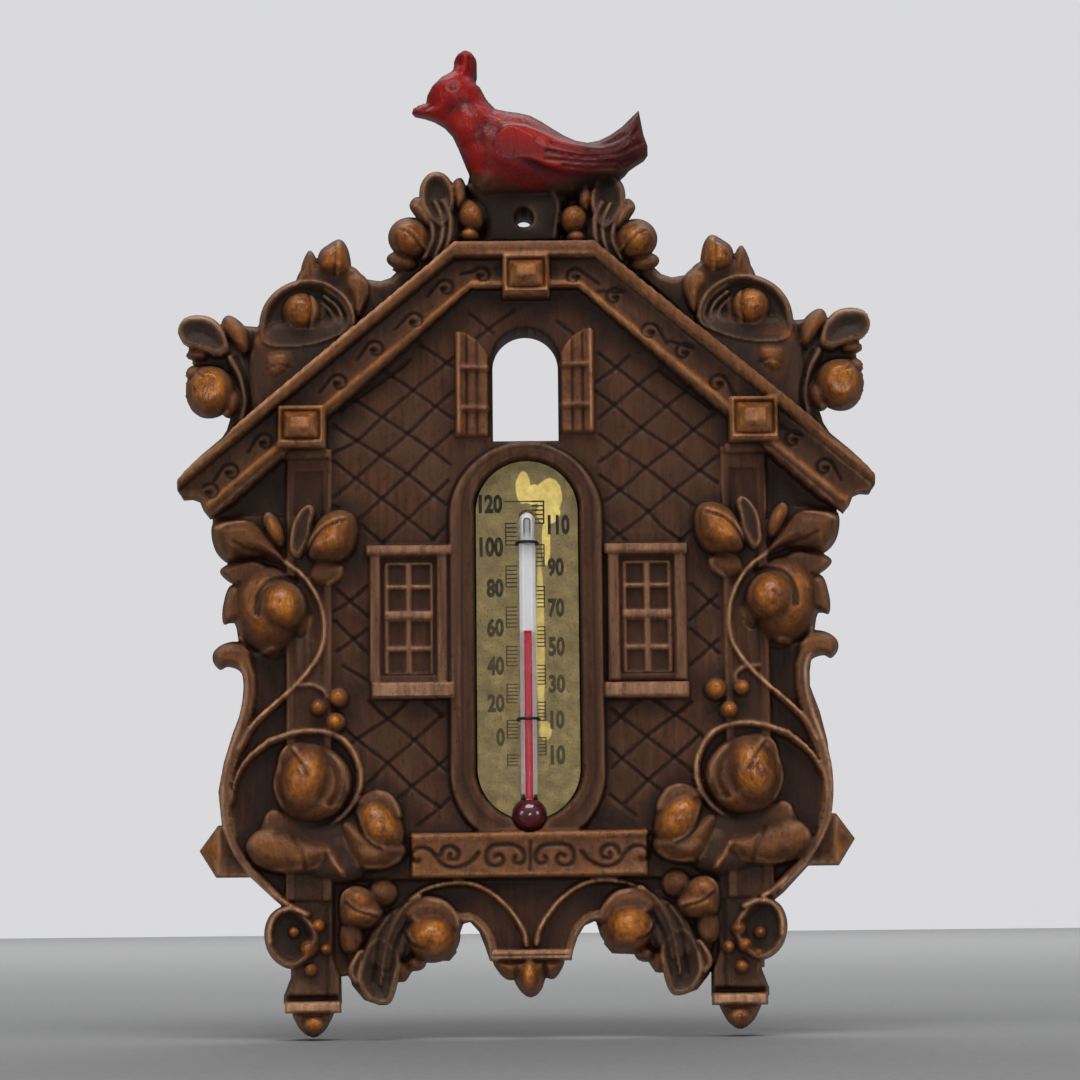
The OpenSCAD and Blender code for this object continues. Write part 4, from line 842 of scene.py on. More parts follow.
# corbels, and the caps of the pilasters under two of them
corbel(-4.0, 4.4, -14.6, -7.5, -1)
corbel(-43.7, -35.3, -41.5, -34.4, 1)
corbel(35.8, 44.5, -41.1, -33.4, -1)
bar(-43.6, -43.3, -34.4, -41.5, 11.0, 0.0, 0.6)
bar(35.0, -43.0, 43.4, -41.1, 11.0, 0.0, 0.6)

# the bird and its stand
w, x, z = window([(-13, -7), (17, 9)], 0)
d = polygon_distance(x, z, [(-12, -6), (-10.4, 4), (-9.5, 8), (16, 7), (14.4, 1), (13, -6)])
lay(w, d, 7.0, outer=True)
# painted shade on the low ground round the stand
tint(dark, w, 0.8 * (d < 0) * (height[w] < 7.6))
d = polygon_distance(x, z, curve([(-9.4, 6), (-8.4, 2), (-7.0, -2), (-6.6, -5.4), (5.2, -5.4), (6.0, -2),
                                  (6.9, 1.5), (6.6, 5)], closed=True))
lay(w, np.maximum(d, -4.6 - z), 7.5 + 3.0 * rounded(np.clip(-d / 2.2, 0, 1)), outer=True, k=1.0)
tint(tone, w, d < 0)
tint(dark, w, 0.45 * (d < 0) * ramp(-x, 2, 7))
HERE.ridge([(5.3, 4.4), (6.0, 2), (5.3, -3.8)], 0.6, 10.9, 0.25)
BIRD = [(-19.9, 18.8), (-19.6, 19.8), (-18.5, 20.6), (-17.3, 21), (-17.2, 22.5), (-16.3, 24.4),
        (-14.6, 26.2), (-12.8, 27.5), (-12.3, 28.7), (-12.3, 30), (-11.7, 30.9), (-10.3, 31.3), (-8.9, 31),
        (-8.2, 29.8), (-8.2, 27.5), (-8.6, 26), (-8.3, 24.8), (-7.75, 24.35), (-6.4, 21.5), (-5, 19.6),
        (-2.95, 19.1), (-0.9, 18.8), (1.2, 18.3), (3.2, 17.2), (5.3, 15.8), (7.4, 14.5), (9.4, 13.6),
        (11.5, 13.2), (13.6, 13.6), (15.6, 14.6), (17.7, 16.1), (19.4, 17.8), (20.7, 19.1), (21, 17.4),
        (21.5, 14.6), (22.2, 12.5), (22.2, 10.7), (21.5, 9.7), (19.8, 8.6), (18.8, 7.9), (18.1, 7),
        (16.7, 5.8), (15, 5), (8.7, 4.2), (6, 4), (-8, 3.6), (-9.3, 5), (-9.6, 7.2), (-10.2, 8.6),
        (-10.9, 10.4), (-11.6, 12.2), (-12.6, 14.4), (-14, 16), (-15.8, 17.1), (-17.5, 17.7), (-19.3, 18.1)]
w, x, z = window(BIRD, 1.5)
bird = polygon_distance(x, z, BIRD)
fresh(w, bird, 0.2)
lay(w, bird, 7.4 + 6.6 * rounded(np.clip(-bird / 6.0, 0, 1)), outer=True)
for cx, cz, rx, rz, turn, top in ((-3.0, 11.6, 8.8, 6.0, -25, 15.5), (-12.3, 22.4, 4.6, 4.4, 0, 14.6),
                                  (-9.6, 16.6, 4.4, 5.6, 25, 14.8), (8, 10.6, 12, 3.6, -6, 13.2),
                                  (-10.2, 29.4, 1.7, 2.2, 0, 11.8), (18.5, 12.8, 4.2, 3.4, 40, 11.4)):
    d, k = oval_distance(x, z, cx, cz, rx, rz, turn)
    lay(w, np.maximum(d, bird), 8 + (top - 8) * np.sqrt(np.clip(1 - k * k, 0, 1)), k=1.2)
WING = [(-4.4, 14.6), (-5.1, 13.2), (-4.6, 11.8), (-2.4, 10.3), (0.5, 9.5), (2.9, 8.5), (5.3, 7.7),
        (7.8, 7.3), (12.3, 7.1), (15.8, 7.3), (18.3, 8.3), (17.6, 9.6), (19.6, 10.6), (20.8, 12.3),
        (20.4, 14.6), (14, 12.8), (8.4, 13.4), (3, 15.6), (-0.6, 16.6), (-3.2, 16.2)]
d = polygon_distance(x, z, curve(WING, closed=True))
height[w] += 1.4 * ramp(-d, 0, 0.6) * (d < 0) * ramp(24 - x, 2, 12)
tint(dark, w, 0.9 * bell(d - 0.3, 0.45) * (bird < -0.5))
for line in ([(5, 12.7), (9, 11.5), (13, 11.2), (17, 12), (20.3, 15.5)],
             [(4, 11.0), (8, 10.3), (12, 9.9), (17, 10.8), (21, 13.2)],
             [(4, 9.5), (8, 9.1), (12, 8.8), (17, 9.3), (21.4, 11.2)], [(10, 12.9), (14, 12.6), (18, 14.6)],
             [(7, 8.3), (12, 7.9), (16.5, 8.3)]):
    HERE.groove(line, 0.45, 0.6, 1.0)
for line in ([(-11.1, 30.6), (-11.2, 27.6)], [(-9.5, 30.6), (-9.6, 27)],
             [(-19.4, 18.9), (-17.8, 19.4), (-16.2, 20.3)]):
    HERE.groove(line, 0.35, 0.5, 0.9)
eye = np.hypot(x + 12.5, z - 23.1)
tint(dark, w, 0.95 * ramp(x, 4, 13) * (bird < 0))
tint(dark, w, 0.55 * bell(bird + 0.2, 0.9) * (bird < 0))
height[w] += 0.12 * bell(eye - 1.3, 0.35) - 0.25 * bell(eye - 0.8, 0.3) + 0.15 * bell(eye, 0.4)
tint(dark, w, 0.8 * bell(eye - 0.85, 0.3))
for line in ([(-7.6, 14), (-6.4, 11.4), (-7, 8.6)], [(-5.6, 9.6), (-3, 7.6), (0, 6.2)],
             [(-3.4, 8.8), (-0.6, 7.2), (2.4, 6.2)], [(-9.4, 19), (-8.2, 16.6), (-7.6, 14.4)]):
    HERE.groove(line, 0.7, 0.12, 0.15)
# the paint stops at a wavering line along the belly
BELLY = [(-11, 8.6), (-8, 7.8), (-4, 6.4), (0, 5.0), (3.5, 4.2), (5, 5.4), (7, 6.7), (12, 6.8), (18.5, 8.2),
         (23, 9.5)]
lower = np.interp(x, *zip(*BELLY))
paint = ramp(z - lower, -0.8, 1.0) * (bird < 0.3)
red[w] = paint * (1 - 0.45 * ramp(x, 8, 18))
# pale lines on the bird: worn paint on the crest and tail tip, painted highlights along the wing's lower
# edge and on the breast and shoulder
for line, amount in (([(-11.8, 30.4), (-11.3, 30.9), (-9.6, 31)], 0.7),
                     ([(20.6, 18.4), (20.9, 15.5), (21.6, 13)], 0.4),
                     ([(-4.2, 12.2), (-2, 10.7), (0.6, 10), (3, 9.1), (6, 8.1), (9, 7.7), (13, 7.6),
                       (16.5, 8)], 1.0), ([(-4.4, 12.9), (-2.4, 11.2), (-0.6, 10.5)], 0.4),
                     ([(-7, 9.6), (-5, 9.4)], 0.45), ([(-3.6, 15), (-2.6, 14.6)], 0.3)):
    HERE.wear_and_highlight_line(line, 0.3, amount)

# holes: the arch and the nail hole, with the bulb's seat in the floor of the recess
X, Z = np.meshgrid(XS, ZS)
EVERYWHERE = np.s_[:, :]
ARCH_R, ARCH_Z, ARCH_FOOT = 5.9, -25.7, -40.2
NAIL_R = 1.7
SEAT_R, BULB_Z, TUBE_DEPTH = 3.1, -106.3, 9.2
arch = np.where(Z > ARCH_Z, np.hypot(X, Z - ARCH_Z) - ARCH_R, np.maximum(np.abs(X) - ARCH_R, ARCH_FOOT - Z))
nail = np.hypot(X, Z) - NAIL_R
# painted light at the nail hole: shade on its left edge, a highlight on its right
tint(dark, EVERYWHERE, 0.8 * bell(nail - 0.1, 0.5) * (X < 0.8))
tint(wear_and_highlight, EVERYWHERE, 0.7 * bell(nail - 0.35, 0.35) * ramp(X, 0.2, 1.2))
# painted shade in a ring round the arch
tint(dark, EVERYWHERE, 0.6 * bell(arch - 0.2, 0.5))
seat = np.hypot(X, Z - BULB_Z)
seat_floor = TUBE_DEPTH - np.sqrt(np.maximum(SEAT_R**2 - seat**2, 0))
height = np.where(seat < SEAT_R, np.minimum(height, seat_floor), height)
rim_distance = outside.copy()
outside = np.maximum(outside, np.maximum(-arch, -nail))


def soften(a, sigma):
    """Gaussian blur along both axes."""
    r = int(3 * sigma / STEP) + 1
    t = np.arange(-r, r + 1) * STEP
    g = np.exp(-(t / sigma) ** 2 / 2)
    g /= g.sum()
    for axis in (0, 1):
        p = np.pad(a, [(r, r) if axis == i else (0, 0) for i in (0, 1)], mode="edge")
        a = sum(g[i] * (p[i:i + a.shape[0]] if axis == 0 else p[:,
                i:i + a.shape[1]]) for i in range(2 * r + 1))
    return a


# leaves that stand free of the wall are thinned towards the outline
loose = np.maximum(ramp(Z - roof_line(X, RAIL_FLAT, RAIL_TOP), 0.0, 1.2),
                   ramp(np.abs(X), 49.8, 51.5) * ramp(Z, -54, -52))
loose = np.maximum(loose, ramp(np.abs(X), 50.6, 51.6) * ramp(-Z, 54, 55.5) * (1 - ramp(-Z, 76, 78)))
loose = np.maximum(loose, ramp(-Z, 131.2, 132) * (1 - ramp(-np.abs(np.abs(X) - 37.3), -6, -5.4)))
depth_in = np.clip(-rim_distance / 2.0, 0, 1)
thin_edge = 6.2 + 9.0 * rounded(depth_in)
height = height + (np.minimum(height, thin_edge) - height) * loose
height = soften(height, 0.16)

# the outline's edge is rounded over
near = np.clip(1 + outside / 0.7, 0, 1)
height = np.maximum(height - 0.7 * (1 - np.sqrt(1 - near**2)), 0.8)

# wear, stain and painted shade that follow the finished relief
rng = np.random.default_rng(7)
patch = soften(rng.standard_normal(FIELD), 1.6)
patch = np.clip(patch / patch.std() * 0.5, 0, 1)
wear_and_highlight += 0.06 * patch * (height > 8.9) * (1 - np.clip(dark * 1.5 + tone + red, 0, 1))
wide, close = soften(height, 1.5), soften(height, 0.35)
broad = soften(height, 3.0)
# hollow is painted shade: darker where the relief lies below its surroundings, beside tall parts and on the
# low ground
hollow = (wide - height) / 1.3 + 0.17 * np.clip((broad - height) / 1.6, 0, 1)
hollow = np.clip(hollow + 0.18 * ramp(WALL - height, 0.2, 0.8) * (height > 7.3), 0, 1)
crest = np.clip((height - close) / 0.25 - 0.1, 0, 1)
dark = np.clip(soften(dark, 0.12) + 0.9 * hollow, 0, 1)
wear_and_highlight = np.clip(soften(wear_and_highlight, 0.12) + 0.24 * crest, 0, 1) * (1 - 0.8 * np.clip(red, 0, 1))
warm = soften(warm, 0.3)
# painted highlight: lighter where the relief stands above its surroundings
painted_highlight = np.clip(0.5 + (height - wide) / 1.6, 0, 1)

# the mesh
VIEW_X, VIEW_Z = -2.6, -132.3                          # the camera's place across the plaque
VIEW_FACE, VIEW_FAR = 12.0, 525.8                      # height of the outlines, and the camera's distance
HALF_WIDTH, HIGHEST = 62.2, 31.2


def along_view(x, z, h):
    """Where a point of the outline lies at the height h: walls run back along the view, out of sight."""
    back = np.maximum(VIEW_FACE - h, 0) / VIEW_FAR
    free_x = np.clip((HALF_WIDTH - np.abs(x)) / 5.0, 0, 1)
    free_z = np.where(z < VIEW_Z, 0.0, np.clip((HIGHEST - z) / 12.0, 0, 1))
    return x + back * (x - VIEW_X) * free_x, z + back * (z - VIEW_Z) * free_z


def joined_to(seed, cells):
    """The cells that hang together with the seed, found by sweeps along both axes until none is added."""
    found = np.zeros_like(cells)
    found[seed] = True
    count = 0
    while found.sum() != count:
        count = found.sum()
        for grid, allowed in ((found, cells), (found.T, cells.T)):
            for rows, free in ((grid, allowed), (grid[::-1], allowed[::-1])):
                for j in range(1, len(rows)):
                    rows[j] |= rows[j - 1] & free[j]
    return found


SNAP = 0.35
kept = outside[:-1, :-1] + outside[1:, :-1] + outside[:-1, 1:] + outside[1:, 1:] < 0
for _ in range(2):                                     # cells that touch only at a corner are dropped
    corner = kept[:-1, :-1] & kept[1:, 1:] & ~kept[1:, :-1] & ~kept[:-1, 1:]
    kept[:-1, :-1][corner] = False
    corner = kept[1:, :-1] & kept[:-1, 1:] & ~kept[:-1, :-1] & ~kept[1:, 1:]
    kept[1:, :-1][corner] = False
ON_WALL = (30, -70)
kept = joined_to((int((ON_WALL[1] - ZS[0]) / STEP), int((ON_WALL[0] - XS[0]) / STEP)), kept)

# nodes on the rim are moved onto the outline
gz, gx = np.gradient(outside, STEP)
corner_count = np.zeros(FIELD, int)
for dk in (0, 1):
    for di in (0, 1):
        corner_count[dk:dk + kept.shape[0], di:di + kept.shape[1]] += kept
rim_nodes = (corner_count > 0) & (corner_count < 4)
slope = gx**2 + gz**2
shift = np.where(rim_nodes & (slope > 0.3), outside / np.maximum(slope, 0.3), 0)
shift = np.clip(shift, -SNAP, SNAP)
px, pz = X - shift * gx, Z - shift * gz

number = np.full(FIELD, -1)
used = corner_count > 0
number[used] = np.arange(used.sum())
seen_x, seen_z = px[used], pz[used]
edge_weight = ramp(rim_distance[used], -3.2, -0.2)
moved_x, moved_z = along_view(seen_x, seen_z, height[used])
top_x = seen_x + (moved_x - seen_x) * edge_weight
top_z = seen_z + (moved_z - seen_z) * edge_weight
top_points = np.stack([top_x, -height[used], top_z], 1)
k, i = np.nonzero(kept)
a, b, c, d = number[k, i], number[k, i + 1], number[k + 1, i + 1], number[k + 1, i]
faces = np.stack([a, b, c, d], 1).tolist()             # seen from the front these run anticlockwise

# boundary edges, each walked with the plaque on its left
directed = np.concatenate([np.stack([a, b], 1), np.stack([b, c], 1), np.stack([c, d], 1),
                           np.stack([d, a], 1)])
key = directed[:, 0] * (number.max() + 1) + directed[:, 1]
back_key = directed[:, 1] * (number.max() + 1) + directed[:, 0]
rim_edges = directed[~np.isin(key, back_key)]


def walked(edges):
    """Closed loops of nodes, the longest first, from edges that each lead from one node to the next."""
    follow = {int(p): int(q) for p, q in edges}
    found = []
    while follow:
        start, at = next(iter(follow.items()))
        loop = [start]
        del follow[start]
        while at != start:
            loop.append(at)
            at = follow.pop(at)
        found.append(loop)
    return sorted(found, key=len, reverse=True)


loops = walked(rim_edges)

# side walls in rings from the front's rim down to the flat back
WALL_SHARES = (0.4, 0.96, 1.0)
base_points, base_from, ground_number = [], [], {}
rim_height = height[used]
for loop in loops:
    rings = [{v: v for v in loop}]
    for share in WALL_SHARES:
        ring = {}
        for v in loop:
            ring[v] = len(top_points) + len(base_points)
            h = rim_height[v] * (1 - share)
            sx, sz = seen_x[v], seen_z[v]
            if loop is loops[0]:
                sx, sz = along_view(sx, sz, h)
            base_points.append((sx, -h, sz))
            base_from.append((v, share < 1))
        rings.append(ring)
    for over, under in zip(rings, rings[1:]):
        for p, q in zip(loop, loop[1:] + loop[:1]):
            faces.append([over[p], under[p], under[q], over[q]])
    ground_number.update(rings[-1])
points = np.vstack([top_points, np.array(base_points)]) * MM

# the flat back
order = [ground_number[v] for loop in loops for v in loop]
flat = [[Vector((*points[ground_number[v]][[0, 2]], 0)) for v in loop] for loop in loops]
for tri in tessellate_polygon(flat):
    t = [order[j] for j in tri]
    p = points[t]
    if np.cross(p[1] - p[0], p[2] - p[0])[1] < 0:
        t = t[::-1]
    faces.append(t)

carved = add_mesh("plaque_carved", points.tolist(), faces)
mesh = carved.data
source, on_wall = np.array(base_from).T

# painted layers as colour channels, each with the share of it that the side walls keep
# rubbed holds gold wear, tan wear with painted highlights, and stain with painted shade; paint holds the
# bird's paint, the grey tone and a painted highlight
CHANNELS = {"rubbed": ((warm, 0.35), (wear_and_highlight, 0.25), (dark, 0.7)),
            "paint": ((red, 1.0), (tone, 1.0), (painted_highlight, 0.8))}
for name, layers in CHANNELS.items():
    attribute = mesh.attributes.new(name, "FLOAT_COLOR", "POINT")
    values = np.ones((len(points), 4))
    for j, (layer, keep) in enumerate(layers):
        values[:, j] = np.concatenate([layer[used], layer[used][source] * on_wall * keep])
    attribute.data.foreach_set("color", values.ravel())

MOST = 192000                                          # triangles
count = sum(len(p.vertices) - 2 for p in mesh.polygons)
bpy.context.view_layer.objects.active = carved
carved.select_set(True)
if count > MOST:
    thin = carved.modifiers.new("thin", "DECIMATE")
    thin.ratio = MOST / count
    bpy.ops.object.modifier_apply(modifier="thin")
mesh = carved.data
mesh.shade_smooth()
mesh.set_sharp_from_angle(angle=math.radians(50))
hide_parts("plaque")
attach(carved, "house")


# materials
class Shader:
    """A few short ways of joining shader nodes."""

    def __init__(self, name):
        self.material = bpy.data.materials.new(name)
        self.material.use_nodes = True
        self.tree = self.material.node_tree
        self.main = self.tree.nodes["Principled BSDF"]

    def node(self, kind, **values):
        """A new node with some of its inputs or settings filled in."""
        n = self.tree.nodes.new("ShaderNode" + kind)
        for key, value in values.items():
            if key in n.inputs:
                n.inputs[key].default_value = value
            else:
                setattr(n, key, value)
        return n

    def link(self, a, b):
        """Joins an output to an input."""
        self.tree.links.new(a, b)

    def feed(self, socket, value):
        """Gives an input a number or a colour, or joins an output to it."""
        if isinstance(value, tuple):
            socket.default_value = (*value, 1)
        elif isinstance(value, (int, float)):
            socket.default_value = value
        else:
            self.link(value, socket)

    def put(self, name, value):
        """Feeds one input of the main shader."""
        self.feed(self.main.inputs[name], value)

    def place(self, scale=(1, 1, 1)):
        """Object coordinates, stretched by scale."""
        m = self.node("Mapping")
        m.inputs["Scale"].default_value = scale
        self.link(self.node("TexCoord").outputs["Object"], m.inputs["Vector"])
        return m.outputs["Vector"]

    def position(self):
        """The three object coordinates in millimetres, under the names X, Y and Z."""
        n = self.node("SeparateXYZ")
        self.link(self.place((1 / MM, 1 / MM, 1 / MM)), n.inputs["Vector"])
        return n.outputs

    def noise(self, scale, detail=3.0, stretch=(1, 1, 1), rough=0.55):
        """Noise from 0 to 1 in object space."""
        n = self.node("TexNoise", Scale=scale, Detail=detail, Roughness=rough)
        self.link(self.place(stretch), n.inputs["Vector"])
        return n.outputs["Fac"]

    def ramp(self, value, lo, hi, a=0.0, b=1.0):
        """Stretches the range from lo to hi onto the range from a to b."""
        n = self.node("MapRange")
        n.clamp = True
        for key, v in (("From Min", lo), ("From Max", hi), ("To Min", a), ("To Max", b)):
            n.inputs[key].default_value = v
        self.link(value, n.inputs["Value"])
        return n.outputs["Result"]

    def math(self, kind, a, b):
        """Arithmetic on outputs or numbers."""
        n = self.node("Math", operation=kind)
        self.feed(n.inputs[0], a)
        self.feed(n.inputs[1], b)
        return n.outputs[0]

    def mix(self, fac, a, b):
        """Colour a turned into colour b by fac."""
        n = self.node("Mix", data_type="RGBA")
        self.link(fac, n.inputs[0])
        self.feed(n.inputs[6], a)
        self.feed(n.inputs[7], b)
        return n.outputs[2]

    def bump(self, value, distance, strength=1.0, after=None):
        """A surface relief, laid over the one given as after."""
        n = self.node("Bump", Distance=distance, Strength=strength)
        self.link(value, n.inputs["Height"])
        if after:
            self.link(after, n.inputs["Normal"])
        return n.outputs["Normal"]

    def layer(self, name):
        """The painted layers of a mesh attribute, as Red, Green and Blue."""
        n = self.node("Attribute", attribute_name=name)
        parts = self.node("SeparateColor")
        self.link(n.outputs["Color"], parts.inputs["Color"])
        return parts.outputs


def dress(obj, material):
    """Gives an object its one material."""
    obj.data.materials.clear()
    obj.data.materials.append(material)


m = Shader("stained casting")
rubbed, paint = m.layer("rubbed"), m.layer("paint")
grain = m.noise(900, 4, (1, 1, 0.12), 0.6)
blotch = m.noise(90, 4)
fine = m.noise(1700, 3, (1, 1, 0.5))
colour = m.mix(m.ramp(grain, 0.35, 0.7), (0.053, 0.0205, 0.0095), (0.112, 0.042, 0.0185))
colour = m.mix(m.ramp(blotch, 0.35, 0.7), colour, (0.074, 0.033, 0.019))
colour = m.mix(m.math("MULTIPLY", paint["Green"], 0.8), colour, (0.042, 0.027, 0.020))
# pale tan from the wear layer, which also holds painted highlights
tan_wear_and_highlight = m.math("MULTIPLY", rubbed["Green"], m.ramp(grain, 0.3, 0.62, 0.35, 1.0))
colour = m.mix(tan_wear_and_highlight, colour, (0.62, 0.32, 0.17))
mottle = m.ramp(m.noise(330, 5, (1, 1, 1), 0.7), 0.34, 0.64)
mottle = m.math("MULTIPLY", mottle, m.ramp(fine, 0.3, 0.7, 0.6, 1.0))
# the gold is lighter on raised parts, a painted highlight
mottle = m.math("MULTIPLY", mottle, m.ramp(paint["Blue"], 0.45, 0.95, 0.45, 1.0))
gold = m.mix(mottle, (0.135, 0.036, 0.010), (0.74, 0.245, 0.024))
colour = m.mix(m.ramp(rubbed["Red"], 0.0, 0.85), colour, gold)
pits = m.math("MULTIPLY", m.ramp(m.noise(1300, 4, (1, 1, 0.6), 0.65), 0.56, 0.66), 0.45)
colour = m.mix(pits, colour, (0.030, 0.014, 0.009))
# the dark layer: stain in grooves together with painted shade
colour = m.mix(m.math("MULTIPLY", rubbed["Blue"], 0.9), colour, (0.012, 0.0065, 0.0048))
red_paint = m.mix(m.ramp(m.noise(160, 3), 0.4, 0.7), (0.17, 0.006, 0.006), (0.075, 0.005, 0.006))
# brighter red on raised parts, a painted highlight
red_paint = m.mix(m.ramp(paint["Blue"], 0.55, 0.95), red_paint, (0.34, 0.008, 0.006))
# stain and painted shade on the bird too
red_paint = m.mix(m.math("MULTIPLY", rubbed["Blue"], 0.8), red_paint, (0.030, 0.005, 0.006))
red_paint = m.mix(m.math("MULTIPLY", rubbed["Green"], 0.42), red_paint, (0.46, 0.13, 0.08))
colour = m.mix(paint["Red"], colour, red_paint)
m.put("Base Color", colour)
shine = m.math("MAXIMUM", m.math("MULTIPLY", rubbed["Green"], 0.45), m.math("MULTIPLY", paint["Red"], 0.5))
shine = m.math("MAXIMUM", rubbed["Red"], shine)
m.put("Roughness", m.ramp(shine, 0.0, 1.0, 0.50, 0.25))
m.put("Specular IOR Level", m.ramp(shine, 0.0, 1.0, 0.12, 0.46))
normal = m.bump(grain, 0.00024, 0.55)
normal = m.bump(m.noise(620, 3), 0.00034, 0.55, normal)
m.put("Normal", m.bump(fine, 0.00012, 0.9, normal))
dress(carved, m.material)

# brass plate and its numbering
PLATE_FACE = 7.7


def mark_z(f):
    """Height of a reading on the scale, in millimetres."""
    return -92.8 + 0.3025 * f + 0.000389 * f * f


def oval_mask(shader, points, soft):
    """A soft mask, 1 inside an upright blob made of overlapping ovals (x, z, rx, rz)."""
    where = shader.position()
    wobble = shader.ramp(shader.noise(420, 2), 0.3, 0.7, -0.14, 0.14)
    best = None
    for cx, cz, rx, rz in points:
        u = shader.math("DIVIDE", shader.math("SUBTRACT", where["X"], cx), rx)
        v = shader.math("DIVIDE", shader.math("SUBTRACT", where["Z"], cz), rz)
        k = shader.math("ADD", shader.math("MULTIPLY", u, u), shader.math("MULTIPLY", v, v))
        k = shader.math("ADD", k, wobble)
        best = k if best is None else shader.math("MINIMUM", best, k)
    return shader.ramp(best, 1.0 + soft, 1.0 - soft)


m = Shader("plate brass")
tarnish = m.mix(m.ramp(m.noise(350, 5), 0.3, 0.7), (0.262, 0.198, 0.082), (0.172, 0.132, 0.062))
tarnish = m.mix(m.ramp(m.noise(2600, 3), 0.5, 0.75), tarnish, (0.11, 0.083, 0.042))
bright = m.mix(m.ramp(m.noise(900, 3), 0.35, 0.7), (0.76, 0.59, 0.18), (0.58, 0.45, 0.14))
# brighter brass round the top of the tube and, below, in a strip down its right side
bright_brass = oval_mask(m, [(-0.6, -48.4, 1.3, 2.9), (1.2, -49.7, 2.0, 1.8), (3.9, -49.9, 2.4, 3.1),
                      (3.8, -52.9, 2.0, 2.2), (3.4, -58.2, 0.75, 4.4)], 0.08)
streak = oval_mask(m, [(2.2, -76, 0.75, 15.0), (2.9, -91.6, 1.1, 1.6)], 0.25)
colour = m.mix(m.math("MULTIPLY", streak, 0.7), tarnish, bright)
colour = m.mix(bright_brass, colour, bright)
m.put("Base Color", colour)
m.put("Metallic", 0.75)
m.put("Roughness", m.ramp(m.noise(500, 3), 0.3, 0.7, 0.42, 0.55))
m.put("Normal", m.bump(m.noise(1400, 3), 0.00003, 0.4))
dress(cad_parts["scale_plate"], m.material)

m = Shader("dry glue")
m.put("Base Color", m.mix(m.noise(400, 3), (0.45, 0.36, 0.20), (0.36, 0.27, 0.14)))
m.put("Roughness", 0.7)
dress(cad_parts["plate_adhesive"], m.material)

m = Shader("scale ink")
ink = m.mix(m.ramp(m.noise(1500, 3), 0.35, 0.65), (0.024, 0.021, 0.016), (0.060, 0.050, 0.030))
faded = m.ramp(m.position()["Z"], -56, -84, 0.0, 0.55)
m.put("Base Color", m.mix(faded, ink, (0.145, 0.112, 0.056)))
m.put("Specular IOR Level", 0.1)
m.put("Roughness", 0.8)
ink_material = m.material

lines = []                                             # x0, z0, x1, z1 of every printed bar


def ladder(x_rail, x_tick, low_f, high_f, width=0.21):
    """One rail with a tick every two degrees."""
    lines.append((x_rail - width / 2, mark_z(low_f) - width / 2, x_rail + width / 2,
                  mark_z(high_f) + width / 2))
    for f in range(low_f, high_f + 1, 2):
        z = mark_z(f)
        lines.append((min(x_rail, x_tick), z - width / 2, max(x_rail, x_tick), z + width / 2))


RAIL_LEFT, TICK_LEFT = -3.75, -1.8
RAIL_RIGHT, TICK_RIGHT = 3.0, 1.6
for low_f in (100, 80, 60, 40, 20, 0):
    ladder(RAIL_LEFT, TICK_LEFT, low_f, low_f + 10)
ladder(RAIL_LEFT, TICK_LEFT, -16, -10)
ladder(RAIL_RIGHT, 0.9, 110, 120, 0.28)
for low_f in (90, 70, 50, 30, 10, -10):
    ladder(RAIL_RIGHT, TICK_RIGHT, low_f, low_f + 10)
lines.append((-4.1, mark_z(120) - 0.1, RAIL_RIGHT, mark_z(120) + 0.1))

ink_points, ink_faces = [], []
INK_BACK, INK_FACE = PLATE_FACE - 0.02, PLATE_FACE + 0.015
for x0, z0, x1, z1 in lines:
    n = len(ink_points)
    for depth in (INK_FACE, INK_BACK):
        ink_points += [(x0, -depth, z0), (x1, -depth, z0), (x1, -depth, z1), (x0, -depth, z1)]
    ink_faces.append((n, n + 1, n + 2, n + 3))
    for j in range(4):
        after = (j + 1) % 4
        ink_faces.append((n + j, n + 4 + j, n + 4 + after, n + after))
    ink_faces.append((n + 4, n + 7, n + 6, n + 5))
scale_ink = add_mesh("scale_ink", [(x * MM, y * MM, z * MM) for x, y, z in ink_points], ink_faces)

# word, left, right, top and foot of every number
NUMERALS = [("120", -8.5, -4.3, -49.6, -53.0), ("100", -8.4, -4.2, -57.2, -60.8),
            ("80", -7.2, -4.2, -64.6, -68.0), ("60", -7.2, -4.2, -71.6, -75.0),
            ("40", -7.2, -4.2, -78.4, -81.8), ("20", -7.2, -4.2, -85.0, -88.3),
            ("0", -5.7, -4.2, -91.0, -94.3), ("110", 3.7, 7.6, -53.3, -56.9),
            ("90", 3.6, 6.5, -61.0, -64.4), ("70", 3.6, 6.5, -68.2, -71.6), ("50", 3.6, 6.5, -75.0, -78.5),
            ("30", 3.6, 6.5, -81.7, -85.0), ("10", 3.8, 6.3, -88.0, -91.3), ("10", 3.8, 6.4, -94.1, -97.6)]


def numeral(word, x0, x1, top, foot_z):
    """One printed number, stretched to fill its place on the plate."""
    text = bpy.data.curves.new("numeral", "FONT")
    text.body = word
    text.offset = 0.045
    text.extrude = 0.01
    text.resolution_u = 3
    made = add("numeral", text)
    bpy.context.view_layer.update()
    shape = bpy.data.meshes.new_from_object(made)
    bpy.data.objects.remove(made)
    p = np.empty(len(shape.vertices) * 3)
    shape.vertices.foreach_get("co", p)
    p = p.reshape(-1, 3)
    share = (p - p.min(0)) / (p.max(0) - p.min(0))
    q = np.empty_like(p)
    q[:, 0] = (x0 + share[:, 0] * (x1 - x0)) * MM
    q[:, 1] = -(INK_BACK + share[:, 2] * (INK_FACE - INK_BACK)) * MM
    q[:, 2] = (foot_z + share[:, 1] * (top - foot_z)) * MM
    shape.vertices.foreach_set("co", q.ravel())
    return add("numeral", shape)


